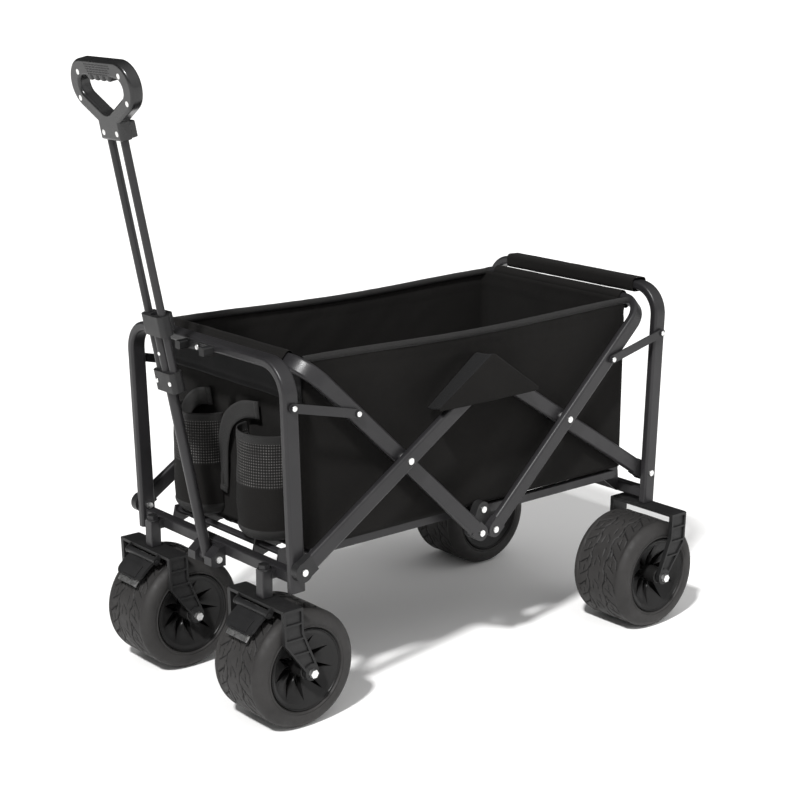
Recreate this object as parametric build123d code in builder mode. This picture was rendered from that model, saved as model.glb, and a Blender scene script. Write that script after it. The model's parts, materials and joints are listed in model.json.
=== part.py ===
from build123d import *
from math import atan2, cos, degrees, hypot, radians, sin, sqrt, tan
import os

os.makedirs("parts", exist_ok=True)

# ----------------------------------------------------------------------------
# Folding camp wagon, millimetres. +X is the handle end (front), +Y the wagon's
# left side, +Z up. The origin is on the floor under the centre of the whole
# open wagon. Every x below is counted from the rear leg pivots, then shifted.
# ----------------------------------------------------------------------------
REAR_X = -482.0           # world x of the rear leg pivots
SPAN = 821.0              # rear leg pivots to front leg pivots, wagon open
PIVOT_Z = 273.0           # height of the leg pivots
FRONT_X = REAR_X + SPAN
MID_X = REAR_X + SPAN / 2

# scissor arms: long arms run from a leg pivot to the top centre, hoop arms from
# the bottom centre bracket to the basket rim
ARM_ANGLE = 32.8          # long arms above the floor, degrees
ARM_TO_CROSSING = 260.0
BRACKET_HALF = 16.0       # half the distance between the two bracket pivots
BRACKET_Z = 248.0
HOOP_PAST_CROSSING = 266.0
LINK_PAST_CROSSING = 138.0
LINK_RISE = 265.8         # leg end of the link above the leg pivot

# bar sections
BAR_WIDE = 28.0
BAR_THIN = 14.0
FRAME_THIN = 16.0
WALL = 1.3
BAR_CORNER = 5.0
HOOP_BEND = 46.0
FRAME_BEND = 50.0

# the three layers that the bars of one side move in, as y of their middles
Y_OUTER = 232.5           # front long arms
Y_MIDDLE = 216.0          # both end frames, both hoops
Y_INNER = 199.5           # rear long arms

# end frames
FRAME_LEAN = 2.0          # both end frames lean outwards, degrees
FRONT_TOP_Z = 611.0
REAR_TOP_Z = 627.0
FRONT_FOOT_Z = 235.0
REAR_FOOT_Z = 216.6

# wheels and forks
WHEEL_R = 100.0
TYRE_HALF = 64.0
SHOULDER = 17.0
RIM_R = 70.0
FORK_HALF = 77.0
FORK_WALL = 8.0
FORK_TOP_Z = 216.0
FORK_PLATE = 5.0
FORK_LENGTH = 38.0
TRAIL = 36.0
CASTER_X = 22.0           # caster stems ahead of the front leg pivots
CASTER_Y = 162.0
REAR_WHEEL_Y = 227.0
REAR_FORK_X = 8.0
AXLE_R = 5.0

# handle
HANDLE_LEAN = 11.6
HANDLE_X = FRONT_X + 21.0
HANDLE_Z = 243.0
TUBE_GAP = 18.5           # side tubes from the middle tube, centre to centre

RUN = 0.08                # running clearance, radial
GAP = 0.3                 # clearance between parts that only pass each other
RIVET_R = 4.0

UP = Vector(0, 0, 1)
theta = radians(ARM_ANGLE)
lean = radians(FRAME_LEAN)
CROSS_DX = ARM_TO_CROSSING * cos(theta)
CROSS_Z = PIVOT_Z + ARM_TO_CROSSING * sin(theta)
APEX_Z = PIVOT_Z + SPAN / 2 * tan(theta)
hoop_run = SPAN / 2 - CROSS_DX - BRACKET_HALF
hoop_rise = CROSS_Z - BRACKET_Z
beta = atan2(hoop_rise, hoop_run)
HOOP_TO_CROSSING = hypot(hoop_run, hoop_rise)
HOOP_LENGTH = HOOP_TO_CROSSING + HOOP_PAST_CROSSING


def save(piece, node):
    piece.label = node
    export_step(piece, f"parts/{node}.step")


def side_plane(y):
    """Plane whose local axes are world X and Z, at the given y."""
    return Plane.XZ.offset(-y)


def ends(front):
    """Pivot x and the direction of the wagon's middle for one end."""
    return (FRONT_X, -1) if front else (REAR_X, 1)


def name_of(side):
    return "left" if side > 0 else "right"


def arm_point(front, distance, off=0.0):
    """World x, z of a point on a long arm, counted from its leg pivot."""
    x0, s = ends(front)
    x = x0 + s * (distance * cos(theta) - off * sin(theta))
    return x, PIVOT_Z + distance * sin(theta) + off * cos(theta)


def hoop_point(front, distance, off=0.0):
    """World x, z of a point on a hoop arm, counted from its bracket pivot."""
    x0, s = ends(front)
    foot = x0 + s * (SPAN / 2 - BRACKET_HALF)
    x = foot - s * (distance * cos(beta) - off * sin(beta))
    return x, BRACKET_Z + distance * sin(beta) + off * cos(beta)


def leg_point(front, rise):
    """World x, z of a point on a leaning end frame, above its pivot."""
    x0, s = ends(front)
    return x0 - s * rise * sin(lean), PIVOT_Z + rise * cos(lean)


def drill(x, z, radius, y, depth):
    """Cuts a round hole along Y through the part being built."""
    with BuildSketch(side_plane(y)) as hole:
        with Locations((x, z)):
            Circle(radius)
    extrude(hole.sketch, amount=depth, both=True, mode=Mode.SUBTRACT)


def tube_section(plane, across, along, wall):
    with BuildSketch(plane) as section:
        RectangleRounded(across, along, BAR_CORNER)
        RectangleRounded(across - 2 * wall, along - 2 * wall, BAR_CORNER - wall, mode=Mode.SUBTRACT)
    return section.sketch


def pin(x, z, y_list):
    """A turned pin along Y: a list of (y, radius) steps, from inside to outside."""
    with BuildPart() as turned:
        with BuildSketch(Plane(origin=(x, 0, z), x_dir=(0, 1, 0), z_dir=(1, 0, 0))):
            with BuildLine():
                points = [(y_list[0][0], 0)]
                for (y_low, radius), (y_high, _) in zip(y_list, y_list[1:]):
                    points += [(y_low, radius), (y_high, radius)]
                points.append((y_list[-1][0], 0))
                Polyline(*points, close=True)
            make_face()
        revolve(axis=Axis((x, 0, z), (0, 1, 0)))
    return turned.part


def pin_pair(x, z, y_list):
    """The same pin on both sides of the wagon."""
    left = pin(x, z, y_list)
    right = pin(x, z, [(-y, r) for y, r in y_list])
    return [left, right]


def save_group(pieces, node):
    save(Compound(children=pieces), node)


# ------------------------------------------------------------- end frames ---
def end_frame(front, top_z, foot_z, node):
    """Bent oval tube, an upside-down U that leans outwards a little."""
    x0, s = ends(front)
    up = Vector(-s * sin(lean), 0, cos(lean))
    plane = Plane(origin=(x0, 0, PIVOT_Z), x_dir=(0, 1, 0), z_dir=Vector(0, 1, 0).cross(up))
    foot = (foot_z - PIVOT_Z) / cos(lean)
    top = (top_z - PIVOT_Z) / cos(lean) - FRAME_THIN / 2
    with BuildPart() as frame:
        with BuildLine(plane) as path:
            FilletPolyline(
                (Y_MIDDLE, foot), (Y_MIDDLE, top), (-Y_MIDDLE, top), (-Y_MIDDLE, foot), radius=FRAME_BEND
            )
        start = path.line @ 0
        across = Plane(origin=start, x_dir=(0, 1, 0), z_dir=path.line % 0)
        sweep(sections=tube_section(across, FRAME_THIN, BAR_WIDE, WALL), path=path.line)
        drill(x0, PIVOT_Z, RIVET_R + RUN, 0, 300)
        for side in (1, -1):
            x, z = leg_point(front, LINK_RISE)
            drill(x, z, RIVET_R + RUN, side * (Y_MIDDLE + FRAME_THIN / 2), 6)
    save(frame.part, node)


end_frame(True, FRONT_TOP_Z, FRONT_FOOT_Z, "front_frame_tube")
end_frame(False, REAR_TOP_Z, REAR_FOOT_Z, "rear_frame_tube")

# cross tubes between the legs, each with four lugs that carry the floor rack
RACK_HINGE_IN = 66.0      # rack hinge inboard of the leg pivots
STAY_IN = 26.0            # stay rod through the lugs
STAY_R = 6.0
RACK_Z = 275.0
RACK_SHAFT_R = 6.0
RAIL = 14.0               # square tube of the floor racks
LUG_YS = (150.0, 84.0)
LUG_THICK = 4.0
LEG_INNER = Y_MIDDLE - FRAME_THIN / 2


def cross_tube(front, x_low, x_high, z_low, z_high, node):
    x0, s = ends(front)
    hinge_x = x0 + s * RACK_HINGE_IN
    with BuildPart() as tube:
        with BuildSketch(side_plane(0)):
            with Locations((x0 + (x_low + x_high) / 2, (z_low + z_high) / 2)):
                RectangleRounded(x_high - x_low, z_high - z_low, 3)
                RectangleRounded(x_high - x_low - 3, z_high - z_low - 3, 1.5, mode=Mode.SUBTRACT)
        extrude(amount=LEG_INNER - 0.05, both=True)
        for lug_y in LUG_YS + tuple(-y for y in LUG_YS):
            with BuildSketch(side_plane(lug_y)):
                near = x0 + (x_low if front else x_high)
                with BuildLine():
                    Polyline(
                        (near, z_low + 2), (near, z_high), (near + s * 4, RACK_Z + 9),
                        (hinge_x, RACK_Z + 9), (hinge_x, RACK_Z - 9), (near + s * 4, z_low + 2), close=True
                    )
                make_face()
                with Locations((hinge_x, RACK_Z)):
                    Circle(10)
                    Circle(RACK_SHAFT_R + RUN, mode=Mode.SUBTRACT)
            extrude(amount=LUG_THICK / 2, both=True)
        with BuildSketch(side_plane(0)):
            with Locations((x0 + s * STAY_IN, RACK_Z)):
                Circle(STAY_R)
        extrude(amount=LUG_YS[0], both=True)
    save(tube.part, node)


cross_tube(True, -13, 7, 247, 267, "front_cross_tube")
cross_tube(False, -10, 10, 223, 243, "rear_cross_tube")


# ------------------------------------------------------------- long arms ---
BOOT_REACH = 24.0         # a plastic end boot reaches this far up the arm
BOOT_R = 16.5
BOOT_THICK = 15.0


def long_arm(front, side):
    """Straight oval tube from near the leg pivot to the top centre joint."""
    y = side * (Y_OUTER if front else Y_INNER)
    length = SPAN / 2 / cos(theta)
    x, z = arm_point(front, BOOT_REACH)
    _, s = ends(front)
    direction = Vector(s * cos(theta), 0, sin(theta))
    start = Plane(origin=(x, y, z), x_dir=(0, 1, 0), z_dir=direction)
    with BuildPart() as arm:
        extrude(tube_section(start, BAR_THIN, BAR_WIDE, WALL), amount=length - 2 * BOOT_REACH)
        cx, cz = arm_point(front, ARM_TO_CROSSING)
        drill(cx, cz, RIVET_R + RUN, y, BAR_THIN)
    save(arm.part, f"{'front' if front else 'rear'}_arm_{name_of(side)}")


def end_boot(x, z, angle, y):
    """Moulded boot over a tube end: a round eye and a tongue inside the tube."""
    direction = Vector(cos(angle), 0, sin(angle))
    with BuildPart() as boot:
        with BuildSketch(Plane(origin=(x, y, z), x_dir=direction, z_dir=(0, -1, 0))):
            Circle(BOOT_R)
            with Locations((BOOT_REACH / 2, 0)):
                Rectangle(BOOT_REACH - 2 * RUN, BAR_WIDE + 2)
            Circle(RIVET_R + RUN, mode=Mode.SUBTRACT)
        extrude(amount=BOOT_THICK / 2, both=True)
        with BuildSketch(Plane(origin=(x, y, z), x_dir=direction, z_dir=(0, -1, 0))):
            with Locations((BOOT_REACH + 5, 0)):
                Rectangle(22, BAR_WIDE - 2 * WALL - 4)
        extrude(amount=BAR_THIN / 2 - WALL - 1, both=True)
        with BuildSketch(Plane(origin=(x, y, z), x_dir=direction, z_dir=(0, -1, 0))):
            Circle(RIVET_R + RUN)
        extrude(amount=BOOT_THICK, both=True, mode=Mode.SUBTRACT)
    return boot.part


for front in (True, False):
    _, s = ends(front)
    boots = []
    for side in (1, -1):
        long_arm(front, side)
        y = side * (Y_OUTER if front else Y_INNER)
        low_x, low_z = arm_point(front, 0)
        high_x, high_z = arm_point(front, SPAN / 2 / cos(theta))
        along = theta if s > 0 else radians(180) - theta
        boots.append(end_boot(low_x, low_z, along, y))
        boots.append(end_boot(high_x, high_z, along + radians(180), y))
    save_group(boots, f"{'front' if front else 'rear'}_arm_boots")

# ----------------------------------------------------------------- hoops ---
FOOT_START = 17.0


def hoop(front, node):
    """Bent oval tube: two arms and the cross bar that carries the basket rim."""
    _, s = ends(front)
    foot_x, foot_z = hoop_point(front, 0)
    up = Vector(-s * cos(beta), 0, sin(beta))
    plane = Plane(origin=(foot_x, 0, foot_z), x_dir=(0, 1, 0), z_dir=Vector(0, 1, 0).cross(up))
    with BuildPart() as bar:
        with BuildLine(plane) as path:
            FilletPolyline(
                (Y_MIDDLE, FOOT_START), (Y_MIDDLE, HOOP_LENGTH), (-Y_MIDDLE, HOOP_LENGTH),
                (-Y_MIDDLE, FOOT_START), radius=HOOP_BEND
            )
        across = Plane(origin=path.line @ 0, x_dir=(0, 1, 0), z_dir=path.line % 0)
        sweep(sections=tube_section(across, BAR_THIN, BAR_WIDE, WALL), path=path.line)
        # closed, rounded feet that turn on the bracket
        tip = hoop_point(front, FOOT_START / 2)
        for side in (1, -1):
            with BuildSketch(side_plane(side * Y_MIDDLE)):
                with Locations((foot_x, foot_z)):
                    Circle(BAR_WIDE / 2)
                with Locations(Location((tip[0], tip[1], 0), (0, 0, -s * degrees(beta)))):
                    Rectangle(FOOT_START, BAR_WIDE)
            extrude(amount=BAR_THIN / 2, both=True)
        drill(foot_x, foot_z, RIVET_R + RUN, 0, 300)
        cross = hoop_point(front, HOOP_TO_CROSSING)
        drill(cross[0], cross[1], RIVET_R + RUN, 0, 300)
    save(bar.part, node)


hoop(True, "front_hoop")
hoop(False, "rear_hoop")

# --------------------------------------------------- bottom centre bracket ---
BRACKET_BOLT_Z = 284.0
BRACKET_INNER = 192.6
BRACKET_OUTER = 208.4
BRACKET_R = 13.5
SHELF_TOP_Z = RACK_Z - RAIL / 2 - GAP

brackets = []
for side in (1, -1):
    with BuildPart() as bracket:
        with BuildSketch(side_plane(side * (BRACKET_INNER + BRACKET_OUTER) / 2)):
            with BuildLine():
                for dx, z in ((-BRACKET_HALF, BRACKET_Z), (BRACKET_HALF, BRACKET_Z), (0, BRACKET_BOLT_Z)):
                    CenterArc((MID_X + dx, z), BRACKET_R, 0, 360)
            make_hull()
        extrude(amount=(BRACKET_OUTER - BRACKET_INNER) / 2, both=True)
        # shelf that the floor rack rests on
        shelf_in, shelf_out = 158.0, BRACKET_INNER + 2
        with BuildSketch(side_plane(side * (shelf_in + shelf_out) / 2)):
            with Locations((MID_X, SHELF_TOP_Z - 7)):
                Rectangle(40, 14)
        extrude(amount=(shelf_out - shelf_in) / 2, both=True)
        for dx in (-BRACKET_HALF, BRACKET_HALF):
            drill(MID_X + dx, BRACKET_Z, RIVET_R, side * Y_INNER, 30)
        drill(MID_X, BRACKET_BOLT_Z, RIVET_R, side * (BRACKET_OUTER + 2), 12)
    brackets.append(bracket.part)
save_group(brackets, "center_brackets")

HEAD_R = 5.6              # rivet heads, and the step to their domed tips
HEAD_TIP_R = 4.4
bracket_pins = []
for dx in (-BRACKET_HALF, BRACKET_HALF):
    steps = [
        (BRACKET_INNER - 2, 5.5), (BRACKET_INNER, RIVET_R), (Y_MIDDLE + 7.2, HEAD_R), (Y_MIDDLE + 9.4, HEAD_TIP_R),
        (Y_MIDDLE + 10.2, 0)
    ]
    bracket_pins += pin_pair(MID_X + dx, BRACKET_Z, steps)
bracket_pins += pin_pair(
    MID_X, BRACKET_BOLT_Z, [(BRACKET_OUTER - 8, RIVET_R), (BRACKET_OUTER, HEAD_R), (BRACKET_OUTER + 3, 0)]
)
save_group(bracket_pins, "center_rivets")

# ------------------------------------------------------- pivot fasteners ---
# each list runs from the inner side to the outer head: (y, radius to next y)
ARM_IN, ARM_OUT = Y_OUTER - BAR_THIN / 2, Y_OUTER + BAR_THIN / 2
MID_IN, MID_OUT = Y_MIDDLE - BAR_THIN / 2, Y_MIDDLE + BAR_THIN / 2
INN_IN, INN_OUT = Y_INNER - BAR_THIN / 2, Y_INNER + BAR_THIN / 2
FRAME_OUT = Y_MIDDLE + FRAME_THIN / 2

front_bolt = [
    (LEG_INNER - 5, 5.5), (LEG_INNER, RIVET_R), (FRAME_OUT + 0.1, 9), (Y_OUTER - BOOT_THICK / 2 - 0.1, RIVET_R),
    (Y_OUTER + BOOT_THICK / 2 + 0.2, HEAD_R), (Y_OUTER + BOOT_THICK / 2 + 2.4, HEAD_TIP_R),
    (Y_OUTER + BOOT_THICK / 2 + 3.2, 0)
]
save_group(pin_pair(FRONT_X, PIVOT_Z, front_bolt), "front_pivot_bolts")
rear_bolt = [
    (Y_INNER - BOOT_THICK / 2 - 1.4, 7), (Y_INNER - BOOT_THICK / 2 - 0.1, RIVET_R), (FRAME_OUT, HEAD_R),
    (FRAME_OUT + 2.2, HEAD_TIP_R), (FRAME_OUT + 3, 0)
]
save_group(pin_pair(REAR_X, PIVOT_Z, rear_bolt), "rear_pivot_bolts")

x, z = arm_point(True, ARM_TO_CROSSING)
front_cross = [
    (MID_IN - 2.6, 7), (MID_IN - 0.1, RIVET_R), (MID_OUT + 0.1, 11), (ARM_IN, RIVET_R), (ARM_OUT, HEAD_R),
    (ARM_OUT + 2.2, HEAD_TIP_R), (ARM_OUT + 3, 0)
]
apex_x, apex_z = MID_X, APEX_Z
apex_pin = [
    (INN_OUT + 1.6, 10), (INN_OUT + 4, RIVET_R), (Y_OUTER + BOOT_THICK / 2, 7.5),
    (Y_OUTER + BOOT_THICK / 2 + 2, 0)
]
save_group(pin_pair(x, z, front_cross) + pin_pair(apex_x, apex_z, apex_pin), "front_arm_rivets")

x, z = arm_point(False, ARM_TO_CROSSING)
rear_cross = [
    (INN_IN - 1.6, 7), (INN_IN - 0.1, RIVET_R), (INN_OUT + 0.1, 11), (MID_IN, RIVET_R), (MID_OUT, HEAD_R),
    (MID_OUT + 2.2, HEAD_TIP_R), (MID_OUT + 3, 0)
]
save_group(pin_pair(x, z, rear_cross), "rear_hoop_rivets")

# ----------------------------------------------------------------- links ---
LINK_Y = FRAME_OUT + 2.4
LINK_THICK = 3.0
LINK_HALF = 7.5


def link(front, side):
    """Flat link with a stud into the leg and a short stud towards the hoop."""
    leg = leg_point(front, LINK_RISE)
    arm = hoop_point(front, HOOP_TO_CROSSING + LINK_PAST_CROSSING)
    with BuildPart() as bar:
        with BuildSketch(side_plane(side * (LINK_Y + LINK_THICK / 2))):
            with BuildLine():
                CenterArc(leg, LINK_HALF, 0, 360)
                CenterArc(arm, LINK_HALF, 0, 360)
            make_hull()
        extrude(amount=LINK_THICK / 2, both=True)
        studs = ((leg, FRAME_OUT - 5), (arm, LINK_Y - 1.2))
        for (x, z), inner in studs:
            outer = LINK_Y + LINK_THICK + 2.2
            with BuildSketch(side_plane(side * (inner + outer) / 2)):
                with Locations((x, z)):
                    Circle(RIVET_R)
            extrude(amount=(outer - inner) / 2, both=True)
            with BuildSketch(side_plane(side * (LINK_Y + LINK_THICK + 1.1))):
                with Locations((x, z)):
                    Circle(6)
            extrude(amount=1.1, both=True)
    return bar.part


save_group([link(True, 1), link(True, -1)], "front_links")
save_group([link(False, 1), link(False, -1)], "rear_links")

# ------------------------------------------------------------ floor rack ---
RACK_LENGTH = SPAN / 2 - RACK_HINGE_IN
SLAT_FROM_TIP = 112.0


def rack(front, rail_ys, node):
    """Half of the folding floor: a hinge shaft, long rails and a cross slat."""
    x0, s = ends(front)
    hinge_x = x0 + s * RACK_HINGE_IN
    reach = max(rail_ys) + RAIL / 2
    with BuildPart() as half:
        with BuildSketch(side_plane(0)):
            with Locations((hinge_x, RACK_Z)):
                Circle(RACK_SHAFT_R)
        extrude(amount=reach, both=True)
        for y in rail_ys:
            for side in (1, -1):
                with BuildSketch(side_plane(side * y)):
                    with Locations((hinge_x, RACK_Z)):
                        Circle(RAIL / 2)
                    with Locations((hinge_x + s * RACK_LENGTH / 2, RACK_Z)):
                        Rectangle(RACK_LENGTH, RAIL)
                extrude(amount=RAIL / 2, both=True)
        with BuildSketch(side_plane(0)):
            with Locations((hinge_x + s * (RACK_LENGTH - SLAT_FROM_TIP), RACK_Z)):
                Rectangle(20, 5)
            with Locations((hinge_x + s * 70, RACK_Z)):
                Rectangle(20, 5)
        extrude(amount=reach - RAIL, both=True)
        # the rails are square tube, open at the tips
        for y in rail_ys:
            for side in (1, -1):
                with BuildSketch(Plane.YZ.offset(hinge_x + s * RACK_LENGTH)):
                    with Locations((side * y, RACK_Z)):
                        Rectangle(RAIL - 3, RAIL - 3)
                extrude(amount=-s * (RACK_LENGTH - 14), mode=Mode.SUBTRACT)
    save(half.part, node)


rack(True, (167.0, 56.0), "front_rack")
rack(False, (183.0, 72.0), "rear_rack")


# ---------------------------------------------------------------- wheels ---
def tyre(x, y, node):
    """Wide tyre, hollow inside, with round shoulders and two grooves in the tread."""
    w, r = TYRE_HALF, WHEEL_R
    with BuildPart() as ring:
        with BuildSketch(Plane(origin=(x, y, WHEEL_R), x_dir=(0, 1, 0), z_dir=(1, 0, 0))):
            with BuildLine():
                top = Line((-w + SHOULDER, r), (w - SHOULDER, r))
                right = RadiusArc(top @ 1, (w, r - SHOULDER), SHOULDER)
                wall = Line(right @ 1, (w - 3, RIM_R + 3))
                bead = Line(wall @ 1, (w - 5, RIM_R))
                inner = Line(bead @ 1, (-w + 5, RIM_R))
                bead2 = Line(inner @ 1, (-w + 3, RIM_R + 3))
                wall2 = Line(bead2 @ 1, (-w, r - SHOULDER))
                RadiusArc(wall2 @ 1, top @ 0, SHOULDER)
            make_face()
            for groove in (-w * 0.33, w * 0.33):
                with Locations((groove, r)):
                    Rectangle(5, 6, mode=Mode.SUBTRACT)
            with Locations((0, RIM_R + 8)):
                RectangleRounded(2 * w - 20, 24, 6, mode=Mode.SUBTRACT)
        revolve(axis=Axis((x, y, WHEEL_R), (0, 1, 0)))
    save(ring.part, node)


HUB_HALF = TYRE_HALF - 6
BARREL = 8.0
BOSS_HALF = 66.0
BOSS_R = 14.0
PETALS = 9
PETAL_IN, PETAL_OUT = 24.0, 57.0
PETAL_HALF = 6.0


def hub(x, y, node):
    """Plastic hub: a barrel in the tyre, a boss, and a dished, slotted web at each face."""
    with BuildPart() as wheel:
        with BuildSketch(Plane(origin=(x, y, WHEEL_R), x_dir=(0, 1, 0), z_dir=(1, 0, 0))):
            with Locations((0, RIM_R - 0.05 - BARREL / 2)):
                Rectangle(2 * HUB_HALF, BARREL)
            with Locations((0, (BOSS_R + AXLE_R + RUN) / 2)):
                Rectangle(2 * BOSS_HALF, BOSS_R - AXLE_R - RUN)
            for half in (-1, 1):
                with BuildLine():
                    Polyline(
                        (half * 24, BOSS_R - 1), (half * 31, BOSS_R - 1), (half * 50, RIM_R - BARREL + 1),
                        (half * 43, RIM_R - BARREL + 1), close=True
                    )
                make_face()
        revolve(axis=Axis((x, y, WHEEL_R), (0, 1, 0)))
        for half in (-1, 1):
            slot_plane = Plane(origin=(x, y + half * 15, WHEEL_R), x_dir=(1, 0, 0), z_dir=(0, half, 0))
            with BuildSketch(slot_plane):
                with PolarLocations(0, PETALS):
                    with BuildLine():
                        Polyline((PETAL_IN, -PETAL_HALF), (PETAL_OUT, 0), (PETAL_IN, PETAL_HALF), close=True)
                    make_face()
            extrude(amount=40, mode=Mode.SUBTRACT)
    save(wheel.part, node)


BOLT_HEAD_R = 7.4


def axle_bolt(x, y):
    """Axle bolt with a hex head outside and a nut inside the fork."""
    with BuildPart() as bolt:
        with BuildSketch(side_plane(y)):
            with Locations((x, WHEEL_R)):
                Circle(AXLE_R)
        extrude(amount=FORK_HALF + 1, both=True)
        for half in (-1, 1):
            with BuildSketch(side_plane(y + half * (FORK_HALF + 3.5))):
                with Locations((x, WHEEL_R)):
                    RegularPolygon(BOLT_HEAD_R, 6)
            extrude(amount=3.5, both=True)
    return bolt.part


AXLE_BOSS = 13.0
FORK_RIM = 4.0
FORK_RIBS = (190, 164, 138)


def fork_leg(x, axle_x, inset):
    """Outline of a fork leg: upright at the top, then swept to the axle."""
    s = 1 if axle_x > x else -1
    half = FORK_LENGTH / 2 - inset
    boss = AXLE_BOSS - inset
    top = FORK_TOP_Z - (FORK_PLATE if inset else 0)
    with BuildLine() as edge:
        FilletPolyline(
            (x - s * half, top), (x + s * half, top), (x + s * (half + 1), 172),
            (axle_x + s * boss, WHEEL_R + 5), (axle_x + s * boss * 0.7, WHEEL_R - boss * 0.7),
            (axle_x - s * boss * 0.7, WHEEL_R - boss * 0.7), (axle_x - s * boss, WHEEL_R + 5),
            (x - s * (half - 2), 158), close=True, radius=2
        )
    with BuildSketch() as leg:
        make_face(edge.edges())
        with Locations((axle_x, WHEEL_R)):
            Circle(boss)
    return leg.sketch


def fork(x, y, axle_x, stem):
    """Channel fork: a top plate with two ribbed legs swept back to the axle."""
    with BuildPart() as body:
        with BuildSketch(Plane.XY.offset(FORK_TOP_Z - FORK_PLATE)):
            with Locations((x, y)):
                RectangleRounded(FORK_LENGTH, 2 * FORK_HALF, 4)
        extrude(amount=FORK_PLATE)
        for half in (-1, 1):
            middle = y + half * (FORK_HALF - FORK_WALL / 2)
            with BuildSketch(side_plane(middle)):
                add(fork_leg(x, axle_x, 0))
            extrude(amount=FORK_WALL / 2, both=True)
            # the outer face is a shallow channel with cross ribs
            with BuildSketch(side_plane(y + half * FORK_HALF)):
                add(fork_leg(x, axle_x, FORK_RIM))
                with Locations((axle_x, WHEEL_R)):
                    Circle(AXLE_BOSS + 3, mode=Mode.SUBTRACT)
                for rib_z in FORK_RIBS:
                    with Locations((x, rib_z)):
                        Rectangle(4 * FORK_LENGTH, 3, mode=Mode.SUBTRACT)
            extrude(amount=3, both=True, mode=Mode.SUBTRACT)
        drill(axle_x, WHEEL_R, AXLE_R, y, FORK_HALF + 5)
        if stem:
            with BuildSketch(Plane.XY.offset(FORK_TOP_Z)):
                with Locations((x, y)):
                    Circle(STEM_R)
            extrude(amount=STEM_TOP_Z - FORK_TOP_Z)
            for half in (-1, 1):
                with BuildSketch(side_plane(y + half * PEDAL_EAR_Y)):
                    with BuildLine():
                        Polyline(
                            (pedal_x - 10, FORK_TOP_Z - FORK_PLATE + 1), (pedal_x - 4, FORK_TOP_Z - 1),
                            (pedal_x - 4, FORK_TOP_Z - FORK_PLATE), close=True
                        )
                        CenterArc((pedal_x, PEDAL_Z), 6.5, 0, 360)
                    make_hull()
                extrude(amount=2, both=True)
                drill(pedal_x, PEDAL_Z, PEDAL_PIN_R + RUN, y + half * PEDAL_EAR_Y, 4)
    return body.part


STEM_R = 7.0
STEM_TOP_Z = 272.0
HOUSING_LOW_Z = 217.0
HOUSING_TOP_Z = 262.0
HOUSING_SIDE = 20.0
PEDAL_EAR_Y = 43.0
PEDAL_PIN_R = 3.0
PEDAL_HALF = 36.0
PEDAL_STEP_HALF = 24.0
SHOE_HALF = 27.0
PEDAL_Z = 203.5
caster_x = FRONT_X + CASTER_X
caster_axle_x = caster_x - TRAIL
pedal_x = caster_x + FORK_LENGTH / 2 + 4.5
rear_fork_x = REAR_X + REAR_FORK_X
rear_axle_x = rear_fork_x + TRAIL

rear_forks = []
rear_bolts = []
for side in (1, -1):
    label = name_of(side)
    y = side * REAR_WHEEL_Y
    rear_forks.append(fork(rear_fork_x, y, rear_axle_x, False))
    tyre(rear_axle_x, y, f"rear_tyre_{label}")
    hub(rear_axle_x, y, f"rear_hub_{label}")
    rear_bolts.append(axle_bolt(rear_axle_x, y))
save_group(rear_forks, "rear_forks")
save_group(rear_bolts, "rear_axle_bolts")


def band(radius_low, radius_high, angle_low, angle_high):
    """Sketch of an arc band round the caster axle, in the local X-Z axes."""
    with BuildLine() as outline:
        centre = (caster_axle_x, WHEEL_R)
        outer = CenterArc(centre, radius_high, angle_low, angle_high - angle_low)
        inner = CenterArc(centre, radius_low, angle_low, angle_high - angle_low)
        Line(outer @ 0, inner @ 0)
        Line(outer @ 1, inner @ 1)
    make_face(outline.edges())


def pedal(y):
    """Brake pedal: a moulded flap over the front of the tyre, on its own pin."""
    with BuildPart() as flap:
        with BuildSketch(side_plane(y)):
            band(112.5, 117.5, 38, 60)
        extrude(amount=PEDAL_HALF, both=True)
        corners = flap.edges().filter_by(GeomType.LINE).filter_by(lambda e: abs((e % 0.5).Y) < 0.5)
        fillet(corners.sort_by(Axis.Z)[:2], radius=13)
        with BuildSketch(side_plane(y)):
            band(117, 119.5, 40, 51)
        extrude(amount=PEDAL_STEP_HALF, both=True)
        with BuildSketch(side_plane(y)):
            with Locations((pedal_x, PEDAL_Z)):
                Circle(6)
        extrude(amount=PEDAL_EAR_Y - 2 - GAP, both=True)
        with BuildSketch(side_plane(y)):
            with Locations((pedal_x, PEDAL_Z)):
                Circle(PEDAL_PIN_R)
        extrude(amount=PEDAL_EAR_Y + 4, both=True)
    return flap.part


def brake_shoe(y):
    """Bright pressed strip under the pedal's end that meets the tyre."""
    with BuildPart() as strip:
        with BuildSketch(side_plane(y)):
            band(109, 112.4, 33, 42)
        extrude(amount=SHOE_HALF, both=True)
    return strip.part


def caster_nut(y):
    with BuildPart() as nut:
        with BuildSketch(Plane.XY.offset(HOUSING_TOP_Z + GAP)):
            with Locations((caster_x, y)):
                Circle(11.5)
                Circle(STEM_R, mode=Mode.SUBTRACT)
        extrude(amount=2)
        with BuildSketch(Plane.XY.offset(HOUSING_TOP_Z + GAP)):
            with Locations((caster_x, y)):
                RegularPolygon(10, 6)
                Circle(STEM_R, mode=Mode.SUBTRACT)
        extrude(amount=9)
    return nut.part


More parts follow.
